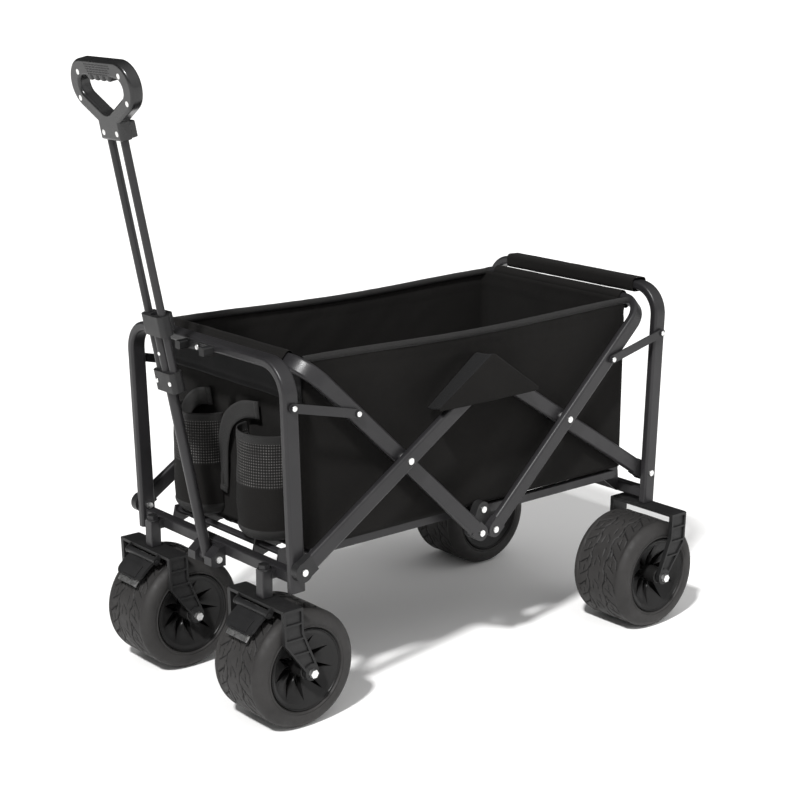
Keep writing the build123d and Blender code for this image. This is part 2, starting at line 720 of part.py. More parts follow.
housings = []
for side in (1, -1):
    label = name_of(side)
    y = side * CASTER_Y
    save(fork(caster_x, y, caster_axle_x, True), f"caster_fork_{label}")
    tyre(caster_axle_x, y, f"front_tyre_{label}")
    hub(caster_axle_x, y, f"front_hub_{label}")
    save(axle_bolt(caster_axle_x, y), f"front_axle_bolt_{label}")
    save(pedal(y), f"brake_pedal_{label}")
    save(brake_shoe(y), f"brake_shoe_{label}")
    save(caster_nut(y), f"caster_nut_{label}")
    with BuildPart() as housing:
        with BuildSketch(Plane.XY.offset(HOUSING_LOW_Z)):
            with Locations((caster_x, y)):
                RectangleRounded(HOUSING_SIDE, HOUSING_SIDE, 2)
        extrude(amount=HOUSING_TOP_Z - HOUSING_LOW_Z)
        with BuildSketch(Plane.XY.offset(248)):
            with Locations((FRONT_X + 7.05 + 4, y)):
                Rectangle(8, 24)
        extrude(amount=HOUSING_TOP_Z - 248)
        with BuildSketch(Plane.XY.offset(HOUSING_LOW_Z)):
            with Locations((caster_x, y)):
                Circle(STEM_R + RUN)
        extrude(amount=HOUSING_TOP_Z - HOUSING_LOW_Z, mode=Mode.SUBTRACT)
    housings.append(housing.part)
save_group(housings, "caster_housings")

# ---------------------------------------------------------------- handle ---
# the handle is laid out in its own plane: local x is world Y, local y runs up
# along the tubes from the pivot, local z points to the front
tilt = radians(HANDLE_LEAN)
handle_up = Vector(sin(tilt), 0, cos(tilt))
HANDLE = Plane(origin=(HANDLE_X, 0, HANDLE_Z), x_dir=(0, 1, 0), z_dir=Vector(0, 1, 0).cross(handle_up))
MIDDLE_R = 9.0
SIDE_R = 6.5
UPPER_COLLAR = 412.0      # middle of the fixed collar, along the tube
LOWER_COLLAR = 316.0      # middle of the sliding collar
COLLAR_H = 34.0
NECK = 716.0
GRIP_TOP = 836.0
PIN_R = 4.0
NECK_SCREW = NECK + 8
SCREW_R = 2.6
YOKE_IN = 13.0
YOKE_FLOOR_X = FRONT_X + 7.05
HANDLE_FRONT_X = HANDLE_X + 15


def along(distance, forward=0.0):
    """Plane square to the handle tubes, at a distance from the pivot."""
    origin = Vector(HANDLE_X, 0, HANDLE_Z) + handle_up * distance + HANDLE.z_dir * forward
    return Plane(origin=origin, x_dir=(0, 1, 0), z_dir=handle_up)


with BuildPart() as yoke:
    with BuildSketch(side_plane(0)):
        with BuildLine():
            Polyline(
                (YOKE_FLOOR_X, 230), (YOKE_FLOOR_X, 264), (HANDLE_X - 2, 262), (HANDLE_FRONT_X, 248),
                (HANDLE_FRONT_X, 234), (HANDLE_X + 6, 230), close=True
            )
        make_face()
    extrude(amount=34, both=True)
    with BuildSketch(Plane.YZ.offset(YOKE_FLOOR_X + 4)):
        with Locations((0, 247)):
            Rectangle(2 * YOKE_IN, 60)
    extrude(amount=60, mode=Mode.SUBTRACT)
    drill(HANDLE_X, HANDLE_Z, PIN_R, 0, 60)
save(yoke.part, "handle_yoke")
save(pin(HANDLE_X, HANDLE_Z, [(-38, 7), (-34.05, PIN_R), (34.05, HEAD_R), (36.6, HEAD_TIP_R), (37.4, 0)]), "handle_pin")

with BuildPart() as middle_tube:
    with BuildSketch(along(11)):
        Circle(MIDDLE_R)
        Circle(MIDDLE_R - 1.5, mode=Mode.SUBTRACT)
    extrude(amount=UPPER_COLLAR + COLLAR_H / 2 - 11)
    # solid foot with a rounded eye for the pin
    with BuildSketch(along(0)):
        Circle(MIDDLE_R)
    extrude(amount=11)
    with BuildSketch(side_plane(0)):
        with Locations((HANDLE_X, HANDLE_Z)):
            Circle(MIDDLE_R + 0.4)
    extrude(amount=MIDDLE_R, both=True)
    drill(HANDLE_X, HANDLE_Z, PIN_R + RUN, 0, 20)
save(middle_tube.part, "handle_tube")


LATCH_Y, LATCH_H = 16.0, 18.0
LATCH_CASE_H = 28.0
LATCH_BACK = 17.5         # the release button's pocket, behind the tubes


def collar(distance, middle_bore, side_bore, latched):
    """Moulded block round the three tubes, with or without a button housing."""
    with BuildPart() as block:
        with BuildSketch(along(distance - COLLAR_H / 2)):
            RectangleRounded(56, 24, 8)
            Circle(middle_bore, mode=Mode.SUBTRACT)
            with Locations((TUBE_GAP, 0), (-TUBE_GAP, 0)):
                Circle(side_bore, mode=Mode.SUBTRACT)
        extrude(amount=COLLAR_H)
        if latched:
            with BuildSketch(along(distance - LATCH_CASE_H / 2, -LATCH_BACK)):
                RectangleRounded(28, 12, 4)
            extrude(amount=LATCH_CASE_H)
            with BuildSketch(along(distance - LATCH_H / 2 - 0.4, -LATCH_BACK - 0.5)):
                Rectangle(LATCH_Y + 0.8, 12)
            extrude(amount=LATCH_H + 0.8, mode=Mode.SUBTRACT)
    return block.part


save(collar(UPPER_COLLAR, MIDDLE_R + 0.02, SIDE_R + RUN, True), "handle_collar")
save(collar(LOWER_COLLAR, MIDDLE_R + RUN, SIDE_R + 0.02, False), "handle_slider")

with BuildPart() as latch:
    with BuildSketch(along(UPPER_COLLAR - LATCH_H / 2, -20.5)):
        RectangleRounded(LATCH_Y, 10, 2.5)
    extrude(amount=LATCH_H)
save(latch.part, "handle_latch")

side_tubes = []
for side in (1, -1):
    with BuildPart() as side_tube:
        with BuildSketch(along(LOWER_COLLAR - COLLAR_H / 2 + 2)):
            with Locations((side * TUBE_GAP, 0)):
                Circle(SIDE_R)
                Circle(SIDE_R - 1.2, mode=Mode.SUBTRACT)
        extrude(amount=NECK + 18 - (LOWER_COLLAR - COLLAR_H / 2 + 2))
        with BuildSketch(HANDLE):
            with Locations((side * TUBE_GAP, NECK_SCREW)):
                Circle(SCREW_R)
        extrude(amount=SIDE_R + 1, both=True, mode=Mode.SUBTRACT)
    side_tubes.append(side_tube.part)
save_group(side_tubes, "handle_side_tubes")

# grip: a loop in two moulded halves, wide at the top and narrow at the neck
GRIP_DEPTH = 11.0         # of one half
BAR_H = 26.0
SOCKET_DEPTH = 8.0
WAVES = 4
WAVE_STEP = 17.0


def round_hull(circles):
    """Sketch of the outline drawn tight round some (x, y, radius) circles."""
    with BuildSketch() as outline:
        with BuildLine() as rounds:
            for cx, cy, radius in circles:
                CenterArc((cx, cy), radius, 0, 360)
        make_hull(rounds.edges())
    return outline.sketch


def grip_outline():
    """Sketch of the grip: a rounded triangular loop on a neck, with finger waves."""
    with BuildSketch() as outline:
        with Locations((0, NECK + 14)):
            RectangleRounded(60, 36, 3)
        add(round_hull([(-46, GRIP_TOP - 40, 40), (46, GRIP_TOP - 40, 40), (0, NECK + 44, 32)]))
        hole_top = GRIP_TOP - BAR_H
        add(round_hull([(-44, hole_top - 16, 16), (44, hole_top - 16, 16), (0, NECK + 64, 26)]), mode=Mode.SUBTRACT)
        for i in range(WAVES):
            with Locations(((i - (WAVES - 1) / 2) * WAVE_STEP, hole_top + 2)):
                Circle(WAVE_STEP / 2)
    return outline.sketch


SCREWS = [(-57.5, GRIP_TOP - 21), (57.5, GRIP_TOP - 21), (-66, NECK + 58), (66, NECK + 58)]
SCREWS += [(-TUBE_GAP, NECK_SCREW), (TUBE_GAP, NECK_SCREW)]


def grip_half(front):
    """One moulded half of the grip, hollow where the side tubes enter."""
    with BuildPart() as half:
        with BuildSketch(HANDLE.offset(0.05 if front else -0.05)):
            add(grip_outline())
        extrude(amount=GRIP_DEPTH if front else -GRIP_DEPTH)
        across = half.faces().sort_by(Axis(HANDLE.origin, HANDLE.z_dir))
        outer_face = across[-1] if front else across[0]
        fillet(outer_face.edges(), radius=5)
        if not front:
            # the socket for the side tubes stands out behind the neck
            with BuildSketch(HANDLE.offset(-GRIP_DEPTH + 3)):
                with Locations((0, NECK + 10)):
                    RectangleRounded(56, 26, 3)
            extrude(amount=-3 - SOCKET_DEPTH)
        with BuildSketch(along(NECK - 10)):
            with Locations((TUBE_GAP, 0), (-TUBE_GAP, 0)):
                Circle(SIDE_R + 0.02)
        extrude(amount=30, mode=Mode.SUBTRACT)
        if front:
            with BuildSketch(HANDLE.offset(GRIP_DEPTH - 2)):
                with Locations(*SCREWS):
                    Circle(4.6)
            extrude(amount=4, mode=Mode.SUBTRACT)
            with BuildSketch(HANDLE):
                with Locations(*SCREWS):
                    Circle(SCREW_R)
            extrude(amount=GRIP_DEPTH, mode=Mode.SUBTRACT)
    return half.part


save(grip_half(True), "grip_front")
save(grip_half(False), "grip_back")

screws = []
for sx, sy in SCREWS:
    with BuildPart() as screw:
        with BuildSketch(HANDLE.offset(0.4)):
            with Locations((sx, sy)):
                Circle(SCREW_R - 0.02)
        extrude(amount=GRIP_DEPTH - 2.4)
        with BuildSketch(HANDLE.offset(GRIP_DEPTH - 2)):
            with Locations((sx, sy)):
                Circle(4.4)
        extrude(amount=1.8)
    screws.append(screw.part)
save_group(screws, "grip_screws")

# clip on the front top bar that holds the folded handle
clip_rise = (FRONT_TOP_Z - FRAME_THIN / 2 - PIVOT_Z) / cos(lean) - FRAME_THIN / 2
CLIP_UP = Vector(sin(lean), 0, cos(lean))
clip_origin = Vector(FRONT_X, 0, PIVOT_Z) + CLIP_UP * (clip_rise + 4)
CLIP = Plane(origin=clip_origin, x_dir=(0, 1, 0), z_dir=Vector(0, 1, 0).cross(CLIP_UP))
CLIP_IN, CLIP_OUT = 27.0, 41.0
with BuildPart() as clip:
    with BuildSketch(CLIP.offset(BAR_WIDE / 2 + 0.05)):
        RectangleRounded(2 * CLIP_OUT, 14, 3)
    extrude(amount=3)
    for side in (1, -1):
        with BuildSketch(CLIP.offset(BAR_WIDE / 2 + 3)):
            with Locations((side * (CLIP_IN + CLIP_OUT) / 2, 0)):
                RectangleRounded(CLIP_OUT - CLIP_IN, 14, 3)
        extrude(amount=17)
    with BuildSketch(CLIP.offset(BAR_WIDE / 2)):
        Circle(5)
    extrude(amount=5)
save(clip.part, "handle_clip")

# ------------------------------------------------------------ soft goods ---
BAG_HALF = 189.5
PANEL_IN = 42.0           # end panels inboard of the leg pivots
BAG_LOW_Z = 286.0
BAG_TOP_Z = 601.0
CLOTH = 3.0
FLAP_Y = Y_OUTER + BOOT_THICK / 2 + 3.2


def block(x_low, x_high, y_low, y_high, z_low, z_high):
    with BuildPart() as solid:
        with BuildSketch(Plane.XY.offset(z_low)):
            with Locations(((x_low + x_high) / 2, (y_low + y_high) / 2)):
                Rectangle(x_high - x_low, y_high - y_low)
        extrude(amount=z_high - z_low)
    return solid.part


bag_rear_x = REAR_X + PANEL_IN
bag_front_x = FRONT_X - PANEL_IN
rear_panel = block(bag_rear_x, bag_rear_x + CLOTH, -BAG_HALF, BAG_HALF, BAG_LOW_Z, BAG_TOP_Z)
save(rear_panel, "bag_rear_panel")
front_panel = block(bag_front_x - CLOTH, bag_front_x, -BAG_HALF, BAG_HALF, BAG_LOW_Z, BAG_TOP_Z)
save(front_panel, "bag_front_panel")
floor_low_x = bag_rear_x + CLOTH + GAP
floor_high_x = bag_front_x - CLOTH - GAP
floor_half = BAG_HALF - CLOTH - GAP
save(block(floor_low_x, floor_high_x, -floor_half, floor_half, BAG_LOW_Z, BAG_LOW_Z + CLOTH), "bag_floor")

# side panels, each with a flap that hangs outside the tops of the long arms
bag_sides = []
for side in (1, -1):
    with BuildPart() as bag_side:
        with BuildSketch(side_plane(side * (BAG_HALF - CLOTH / 2))):
            with Locations((MID_X, (BAG_LOW_Z + BAG_TOP_Z) / 2)):
                Rectangle(floor_high_x - floor_low_x, BAG_TOP_Z - BAG_LOW_Z)
        extrude(amount=CLOTH / 2, both=True)
        with BuildSketch(side_plane(side * (FLAP_Y + CLOTH / 2))):
            with BuildLine():
                Polyline(
                    (MID_X - 118, 484), (MID_X + 150, 484), (MID_X + 60, 578), (MID_X - 110, 578), close=True
                )
            make_face()
        extrude(amount=CLOTH / 2, both=True)
        # the strip that the flap hangs from
        with BuildSketch(side_plane(side * (BAG_HALF + FLAP_Y) / 2)):
            with Locations((MID_X - 25, 578 - CLOTH / 2)):
                Rectangle(170, CLOTH)
        extrude(amount=(FLAP_Y - BAG_HALF) / 2 + 1, both=True)
    bag_sides.append(bag_side.part)
save_group(bag_sides, "bag_sides")

# two half-round bottle pockets on the front panel
POCKET_R = 58.0
POCKET_Y = 84.0
POCKET_LOW_Z = 292.0
POCKET_TOP_Z = 470.0
for side in (1, -1):
    with BuildPart() as pocket:
        for radius, low, mode in (
            (POCKET_R, POCKET_LOW_Z, Mode.ADD),
            (POCKET_R - CLOTH, POCKET_LOW_Z + CLOTH, Mode.SUBTRACT)
        ):
            with BuildSketch(Plane.XY.offset(low)):
                with Locations((bag_front_x + GAP, side * POCKET_Y)):
                    Circle(radius)
            extrude(amount=POCKET_TOP_Z - low, mode=mode)
        with BuildSketch(Plane.XY.offset(POCKET_LOW_Z - 1)):
            with Locations((bag_front_x + GAP - POCKET_R, side * POCKET_Y)):
                Rectangle(2 * POCKET_R, 2 * POCKET_R + 2)
        extrude(amount=POCKET_TOP_Z - POCKET_LOW_Z + 2, mode=Mode.SUBTRACT)
    save(pocket.part, f"front_pocket_{name_of(side)}")
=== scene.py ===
"""Looks of the folding camp wagon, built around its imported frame. Metres, +X to the handle, +Z up."""
import json
from math import asin, cos, pi, radians, sin

import bpy
import numpy as np
from mathutils import Matrix, Quaternion, Vector, noise


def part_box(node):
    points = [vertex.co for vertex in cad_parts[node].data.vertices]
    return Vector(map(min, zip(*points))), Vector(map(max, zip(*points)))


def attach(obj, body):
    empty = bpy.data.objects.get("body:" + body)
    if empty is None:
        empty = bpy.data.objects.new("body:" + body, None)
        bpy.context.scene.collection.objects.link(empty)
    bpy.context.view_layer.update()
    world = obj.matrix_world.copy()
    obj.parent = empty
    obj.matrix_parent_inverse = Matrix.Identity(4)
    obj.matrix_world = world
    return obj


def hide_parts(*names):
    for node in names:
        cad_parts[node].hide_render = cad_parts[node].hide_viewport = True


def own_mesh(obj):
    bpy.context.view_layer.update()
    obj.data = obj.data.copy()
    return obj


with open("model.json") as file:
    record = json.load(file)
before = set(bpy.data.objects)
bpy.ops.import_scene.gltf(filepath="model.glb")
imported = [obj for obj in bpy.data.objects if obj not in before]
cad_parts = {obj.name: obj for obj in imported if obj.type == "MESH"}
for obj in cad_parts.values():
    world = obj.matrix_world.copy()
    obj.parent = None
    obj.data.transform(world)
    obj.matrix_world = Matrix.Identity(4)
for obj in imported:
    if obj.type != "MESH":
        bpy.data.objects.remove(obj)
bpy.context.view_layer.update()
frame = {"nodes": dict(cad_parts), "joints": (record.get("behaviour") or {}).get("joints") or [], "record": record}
nodes = frame["nodes"]
joints = {j["name"]: j for j in frame["joints"]}
SIDES = {"left": 1, "right": -1}


def pivot(name):
    return Vector(joints[name]["pos_m"])


# ---------------------------------------------------------------- camera ---
CAMERA_AT = (1.9563, 2.3688, 1.2499)
CAMERA_YAW = radians(-130.292)
CAMERA_PITCH = radians(-14.622)
CAMERA_ROLL = radians(0.168)
camera = bpy.data.objects.new("camera", bpy.data.cameras.new("camera"))
bpy.context.scene.collection.objects.link(camera)
look = Vector((cos(CAMERA_PITCH) * cos(CAMERA_YAW), cos(CAMERA_PITCH) * sin(CAMERA_YAW), sin(CAMERA_PITCH)))
turn = look.to_track_quat("-Z", "Y") @ Quaternion((0, 0, 1), CAMERA_ROLL)
camera.rotation_mode = "QUATERNION"
camera.rotation_quaternion = turn
camera.location = CAMERA_AT
camera.data.lens = 81.27
camera.data.sensor_width = 36
camera.data.shift_x = 0.0042
camera.data.clip_end = 200
bpy.context.scene.camera = camera

# ---------------------------------------------------------------- studio ---
scene = bpy.context.scene
scene.view_settings.view_transform = "Standard"
scene.world = bpy.data.worlds.new("studio")
scene.world.use_nodes = True
SOFTBOX_TOWARD = (-0.25, 0.75, 0.6)
DIM_ROOM = 0.03           # what reflections see beside the soft light
FILL = 0.34               # even light on matte surfaces
SOFTBOX = 1.45


def studio_light():
    """A white backdrop for the camera. The room itself is dark, with one large soft light."""
    tree = scene.world.node_tree
    backdrop = tree.nodes["Background"]
    backdrop.inputs["Color"].default_value = (1.0, 0.997, 0.985, 1)
    room = tree.nodes.new("ShaderNodeBackground")
    coords = tree.nodes.new("ShaderNodeTexCoord")
    facing = tree.nodes.new("ShaderNodeVectorMath")
    facing.operation = "DOT_PRODUCT"
    facing.inputs[1].default_value = Vector(SOFTBOX_TOWARD).normalized()
    tree.links.new(coords.outputs["Generated"], facing.inputs[0])
    value = facing.outputs["Value"]
    for operation, amount in (("MAXIMUM", 0.0), ("POWER", 2.0), ("MULTIPLY", SOFTBOX), ("ADD", DIM_ROOM)):
        step = tree.nodes.new("ShaderNodeMath")
        step.operation = operation
        step.inputs[1].default_value = amount
        tree.links.new(value, step.inputs[0])
        value = step.outputs[0]
    rays = tree.nodes.new("ShaderNodeLightPath")
    fill = tree.nodes.new("ShaderNodeMath")
    fill.operation = "MULTIPLY_ADD"
    fill.inputs[1].default_value = FILL
    tree.links.new(rays.outputs["Is Diffuse Ray"], fill.inputs[0])
    tree.links.new(value, fill.inputs[2])
    tree.links.new(fill.outputs[0], room.inputs["Strength"])
    choice = tree.nodes.new("ShaderNodeMixShader")
    tree.links.new(rays.outputs["Is Camera Ray"], choice.inputs[0])
    tree.links.new(room.outputs[0], choice.inputs[1])
    tree.links.new(backdrop.outputs[0], choice.inputs[2])
    tree.links.new(choice.outputs[0], tree.nodes["World Output"].inputs["Surface"])


def sun(name, toward, strength, angle):
    """A sun light that shines from the direction given."""
    light = bpy.data.lights.new(name, "SUN")
    light.energy = strength
    light.angle = radians(angle)
    lamp = bpy.data.objects.new(name, light)
    lamp.rotation_euler = Vector(toward).to_track_quat("Z", "Y").to_euler()
    scene.collection.objects.link(lamp)


studio_light()
sun("key_light", (0.187, 0.103, 0.248), 4.2, 4.5)

# ------------------------------------------------------------- materials ---


class Finish:
    """A node material under construction: a Principled shader with helpers for its texture nodes."""

    def __init__(self, name, color, roughness, metallic=0.0, specular=0.5, coat=0.0, sheen=0.0):
        self.material = bpy.data.materials.new(name)
        self.material.use_nodes = True
        self.material.diffuse_color = (*color, 1)
        self.nodes = self.material.node_tree.nodes
        self.links = self.material.node_tree.links
        self.shader = self.nodes["Principled BSDF"]
        self.set("Base Color", (*color, 1))
        self.set("Roughness", roughness)
        self.set("Metallic", metallic)
        self.set("Specular IOR Level", specular)
        self.set("Coat Weight", coat)
        self.set("Coat Roughness", 0.12)
        self.set("Sheen Weight", sheen)
        self.set("Sheen Roughness", 0.5)
        self.coords = self.nodes.new("ShaderNodeTexCoord")
        self.height = None

    def set(self, socket, value):
        self.shader.inputs[socket].default_value = value

    def node(self, kind, **values):
        made = self.nodes.new(kind)
        for key, value in values.items():
            if key in made.inputs:
                made.inputs[key].default_value = value
            else:
                setattr(made, key, value)
        return made

    def noise(self, scale, detail=3.0, source="Object", roughness=0.55):
        made = self.node("ShaderNodeTexNoise", Scale=scale, Detail=detail, Roughness=roughness)
        self.links.new(self.coords.outputs[source], made.inputs["Vector"])
        return made.outputs["Fac"]

    def ramp(self, source, low, high, low_value, high_value):
        """Maps source from low..high to a number or a colour range."""
        made = self.nodes.new("ShaderNodeMapRange")
        made.inputs["From Min"].default_value = low
        made.inputs["From Max"].default_value = high
        made.inputs["To Min"].default_value = low_value
        made.inputs["To Max"].default_value = high_value
        self.links.new(source, made.inputs["Value"])
        return made.outputs["Result"]

    def math(self, operation, first, second=None):
        made = self.nodes.new("ShaderNodeMath")
        made.operation = operation
        for i, value in enumerate((first, second)):
            if value is None:
                continue
            if isinstance(value, (int, float)):
                made.inputs[i].default_value = value
            else:
                self.links.new(value, made.inputs[i])
        return made.outputs[0]

    def mix(self, factor, first, second):
        """Colour between two colours or colour sockets."""
        made = self.nodes.new("ShaderNodeMix")
        made.data_type = "RGBA"
        self.links.new(factor, made.inputs["Factor"])
        for socket, value in ((made.inputs[6], first), (made.inputs[7], second)):
            if isinstance(value, tuple):
                socket.default_value = (*value, 1)
            else:
                self.links.new(value, socket)
        return made.outputs[2]

    def color(self, source):
        self.links.new(source, self.shader.inputs["Base Color"])

    def roughness(self, source):
        self.links.new(source, self.shader.inputs["Roughness"])

    def bump(self, source, distance, strength=1.0):
        made = self.nodes.new("ShaderNodeBump")
        made.inputs["Distance"].default_value = distance
        made.inputs["Strength"].default_value = strength
        self.links.new(source, made.inputs["Height"])
        if self.height is not None:
            self.links.new(self.height, made.inputs["Normal"])
        self.height = made.outputs["Normal"]
        self.links.new(self.height, self.shader.inputs["Normal"])

    def split(self, source="UV"):
        made = self.nodes.new("ShaderNodeSeparateXYZ")
        self.links.new(self.coords.outputs[source], made.inputs[0])
        return made.outputs

    def attribute(self, name):
        made = self.nodes.new("ShaderNodeAttribute")
        made.attribute_name = name
        return made.outputs["Fac"]


def speckled(name, color, lighter, roughness, spread, grain, depth, **more):
    """A moulded or coated finish: cloudy colour, uneven roughness and a fine grain."""
    f = Finish(name, color, roughness, **more)
    cloud = f.noise(9, 4)
    f.color(f.mix(f.ramp(cloud, 0.35, 0.7, 0, 1), color, lighter))
    f.roughness(f.ramp(f.noise(38, 5), 0.3, 0.7, roughness - spread, roughness + spread))
    f.bump(f.noise(grain, 2), depth)
    return f.material


def woven(name, color, lighter, pitch, depth, roughness=0.88, sheen=0.02, specular=0.08):
    """Plain weave over UVs in metres: two crossed sets of threads, slubs and faded patches."""
    f = Finish(name, color, roughness, specular=specular, sheen=sheen)
    u, v, _ = f.split()
    across = f.math("SINE", f.math("MULTIPLY", u, pi / pitch))
    along = f.math("SINE", f.math("MULTIPLY", v, pi / pitch))
    threads = f.math("MULTIPLY", across, along)
    patches = f.ramp(f.noise(5.5, 5), 0.32, 0.72, 0, 1)
    slubs = f.ramp(f.noise(420, 2), 0.35, 0.75, 0, 1)
    tone = f.math("ADD", f.math("MULTIPLY", patches, 0.65), f.math("MULTIPLY", slubs, 0.35))
    f.color(f.mix(tone, color, lighter))
    f.bump(f.math("ABSOLUTE", threads), depth)
    f.bump(f.noise(26, 4), 0.0012, 0.35)
    return f.material


def ribbed(name, color, lighter, pitch, depth):
    """Webbing: ribs across its length."""
    f = Finish(name, color, 0.7, specular=0.2, sheen=0.05)
    u, v, _ = f.split()
    ribs = f.math("ABSOLUTE", f.math("SINE", f.math("MULTIPLY", u, pi / pitch)))
    chevron = f.math("ABSOLUTE", f.math("SINE", f.math("MULTIPLY", f.math("ADD", u, v), pi / pitch)))
    # the colour follows the ribs: lighter on their crests as painted highlight and darker between them as painted
    # shade, with some random tone
    f.color(f.mix(f.math("MULTIPLY", ribs, f.ramp(f.noise(30, 3), 0.3, 0.7, 0.5, 1)), color, lighter))
    f.bump(f.math("ADD", ribs, chevron), depth)
    return f.material


def netted(name, color, thread, pitch):
    """Knitted pocket net: light knots on a square grid over dark holes."""
    f = Finish(name, color, 0.7, specular=0.15, sheen=0.03)
    u, v, _ = f.split()
    wave_u = f.math("COSINE", f.math("MULTIPLY", u, 2 * pi / pitch))
    wave_v = f.math("COSINE", f.math("MULTIPLY", v, 2 * pi / pitch))
    knots = f.ramp(f.math("ADD", wave_u, wave_v), 0.9, 1.7, 0, 1)
    strands = f.ramp(f.math("MAXIMUM", wave_u, wave_v), 0.4, 0.9, 0, 1)
    uneven = f.ramp(f.noise(24, 3), 0.35, 0.65, 0.15, 1)
    body = f.mix(strands, color, tuple(4 * c for c in color))
    f.color(f.mix(f.math("MULTIPLY", knots, uneven), body, thread))
    f.bump(f.math("ADD", strands, knots), 0.0007)
    return f.material


def coated(name, color, lighter):
    """Semi-gloss powder coat: orange peel, faint dusty clouding and uneven roughness."""
    f = Finish(name, color, 0.35, specular=0.3, coat=0.05)
    f.set("Coat Roughness", 0.3)
    cloud = f.ramp(f.noise(7, 5), 0.35, 0.7, 0, 1)
    f.color(f.mix(cloud, color, lighter))
    f.roughness(f.ramp(f.noise(60, 6), 0.3, 0.7, 0.28, 0.42))
    f.bump(f.noise(620, 2), 0.00018)
    f.bump(f.noise(90, 2), 0.0002, 0.5)
    return f.material


def plated(name, color, roughness):
    """Bright plated steel with turning marks and a few dull spots."""
    f = Finish(name, color, roughness, metallic=1.0)
    dull = f.ramp(f.noise(140, 4), 0.4, 0.75, 0, 1)
    f.color(f.mix(dull, color, tuple(0.78 * c for c in color)))
    f.roughness(f.ramp(f.noise(260, 3), 0.3, 0.7, roughness - 0.08, roughness + 0.12))
    f.bump(f.noise(260, 2), 0.00001)
    return f.material


def tread_rubber(name, color, lighter, dark):
    """Moulded rubber: painted shade darkening the grooves, a scuffed tread and a fine matte grain."""
    f = Finish(name, color, 0.55, specular=0.25)
    groove_shade = f.attribute("groove_shade")
    cloud = f.ramp(f.noise(14, 5), 0.35, 0.7, 0, 1)
    # the colour turns to the dark colour in the cuts: painted shade in the tread's recesses, the rubber itself is
    # the same there
    f.color(f.mix(f.ramp(groove_shade, 0.15, 0.8, 0, 1), f.mix(cloud, color, lighter), dark))
    f.roughness(f.ramp(f.noise(90, 5), 0.3, 0.7, 0.52, 0.72))
    f.bump(f.noise(1100, 2), 0.00012)
    f.bump(f.noise(70, 3), 0.0003, 0.4)
    return f.material


BLACK_COAT = (0.0150, 0.0145, 0.0155)
powder_coat = coated("powder_coat", BLACK_COAT, (0.022, 0.0212, 0.0225))
zinc = plated("zinc", (0.90, 0.90, 0.89), 0.34)
tyre_rubber = tread_rubber("tyre_rubber", (0.0205, 0.0195, 0.019), (0.030, 0.0285, 0.0278),
                           (0.0035, 0.0034, 0.0034))
hub_plastic = speckled("hub_plastic", (0.0085, 0.0083, 0.0083), (0.0125, 0.0122, 0.012), 0.36, 0.06, 700,
                       0.00012, specular=0.22)
fork_plastic = speckled("fork_plastic", (0.0095, 0.0095, 0.0097), (0.015, 0.0148, 0.015), 0.42, 0.08, 420,
                        0.0003, specular=0.25)
grip_plastic = speckled("grip_plastic", (0.0105, 0.0105, 0.0108), (0.015, 0.015, 0.0152), 0.3, 0.05, 500,
                        0.0001, coat=0.2, specular=0.4)
joint_plastic = speckled("joint_plastic", (0.0105, 0.0105, 0.011), (0.017, 0.0168, 0.017), 0.42, 0.08, 520,
                         0.0002, specular=0.3)
canvas = woven("canvas", (0.0062, 0.0058, 0.0055), (0.0105, 0.0098, 0.0093), 0.0011, 0.00025)
flap_cloth = woven("flap_cloth", (0.0105, 0.0105, 0.0108), (0.0155, 0.0155, 0.016), 0.0011, 0.00025, 0.7)
hem_tape = ribbed("hem_tape", (0.0085, 0.0082, 0.008), (0.015, 0.0145, 0.0142), 0.0016, 0.0003)
webbing = ribbed("webbing", (0.0125, 0.0122, 0.012), (0.024, 0.0235, 0.023), 0.0022, 0.0005)
pocket_net = netted("pocket_net", (0.005, 0.0048, 0.0046), (0.16, 0.155, 0.15), 0.0047)

FINISH_OF_SLOT = {
    "powder_coat": powder_coat,
    "zinc": zinc,
    "tyre_rubber": tyre_rubber,
    "hub_plastic": hub_plastic,
    "fork_plastic": fork_plastic,
    "grip_plastic": grip_plastic,
    "joint_plastic": joint_plastic,
    "canvas": canvas,
}


def dress_cad_nodes():
    """Gives every CAD node the finish of its slot in the record."""
    for subpart in frame["record"]["subparts"]:
        node = nodes[subpart["node"]]
        node.data.materials.clear()
        node.data.materials.append(FINISH_OF_SLOT[subpart["material_slot"]])


# ---------------------------------------------------------- mesh helpers ---
def piece(name, points, faces, finish, body, uvs=None, smooth=True):
    """A mesh object from points and faces that rides on a body. uvs holds one pair for each point."""
    mesh = bpy.data.meshes.new(name)
    mesh.from_pydata([tuple(p) for p in points], [], faces)
    if uvs is not None:
        layer = mesh.uv_layers.new(name="cloth")
        for loop in mesh.loops:
            layer.data[loop.index].uv = uvs[loop.vertex_index]
    mesh.polygons.foreach_set("use_smooth", [smooth] * len(mesh.polygons))
    mesh.update()
    made = bpy.data.objects.new(name, mesh)
    scene.collection.objects.link(made)
    for one in finish if isinstance(finish, (list, tuple)) else [finish]:
        mesh.materials.append(one)
    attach(made, body)
    return made


def grid_faces(rows, columns, wrap_rows=False, wrap_columns=False):
    """Quads of a grid of points stored row by row."""
    faces = []
    for i in range(rows if wrap_rows else rows - 1):
        for j in range(columns if wrap_columns else columns - 1):
            a = i * columns + j
            b = i * columns + (j + 1) % columns
            c = ((i + 1) % rows) * columns + (j + 1) % columns
            d = ((i + 1) % rows) * columns + j
            faces.append((a, b, c, d))
    return faces


def thicken(obj, amount, offset):
    """Gives a sheet its real thickness. offset is -1 for inwards, 0 for both ways and 1 for outwards."""
    solid = obj.modifiers.new("thickness", "SOLIDIFY")
    solid.thickness = amount
    solid.offset = offset
    solid.use_even_offset = False


def apply_modifiers(obj):
    """Turns the modifiers' result into the object's own mesh."""
    depsgraph = bpy.context.evaluated_depsgraph_get()
    mesh = bpy.data.meshes.new_from_object(obj.evaluated_get(depsgraph))
    obj.modifiers.clear()
    obj.data = mesh


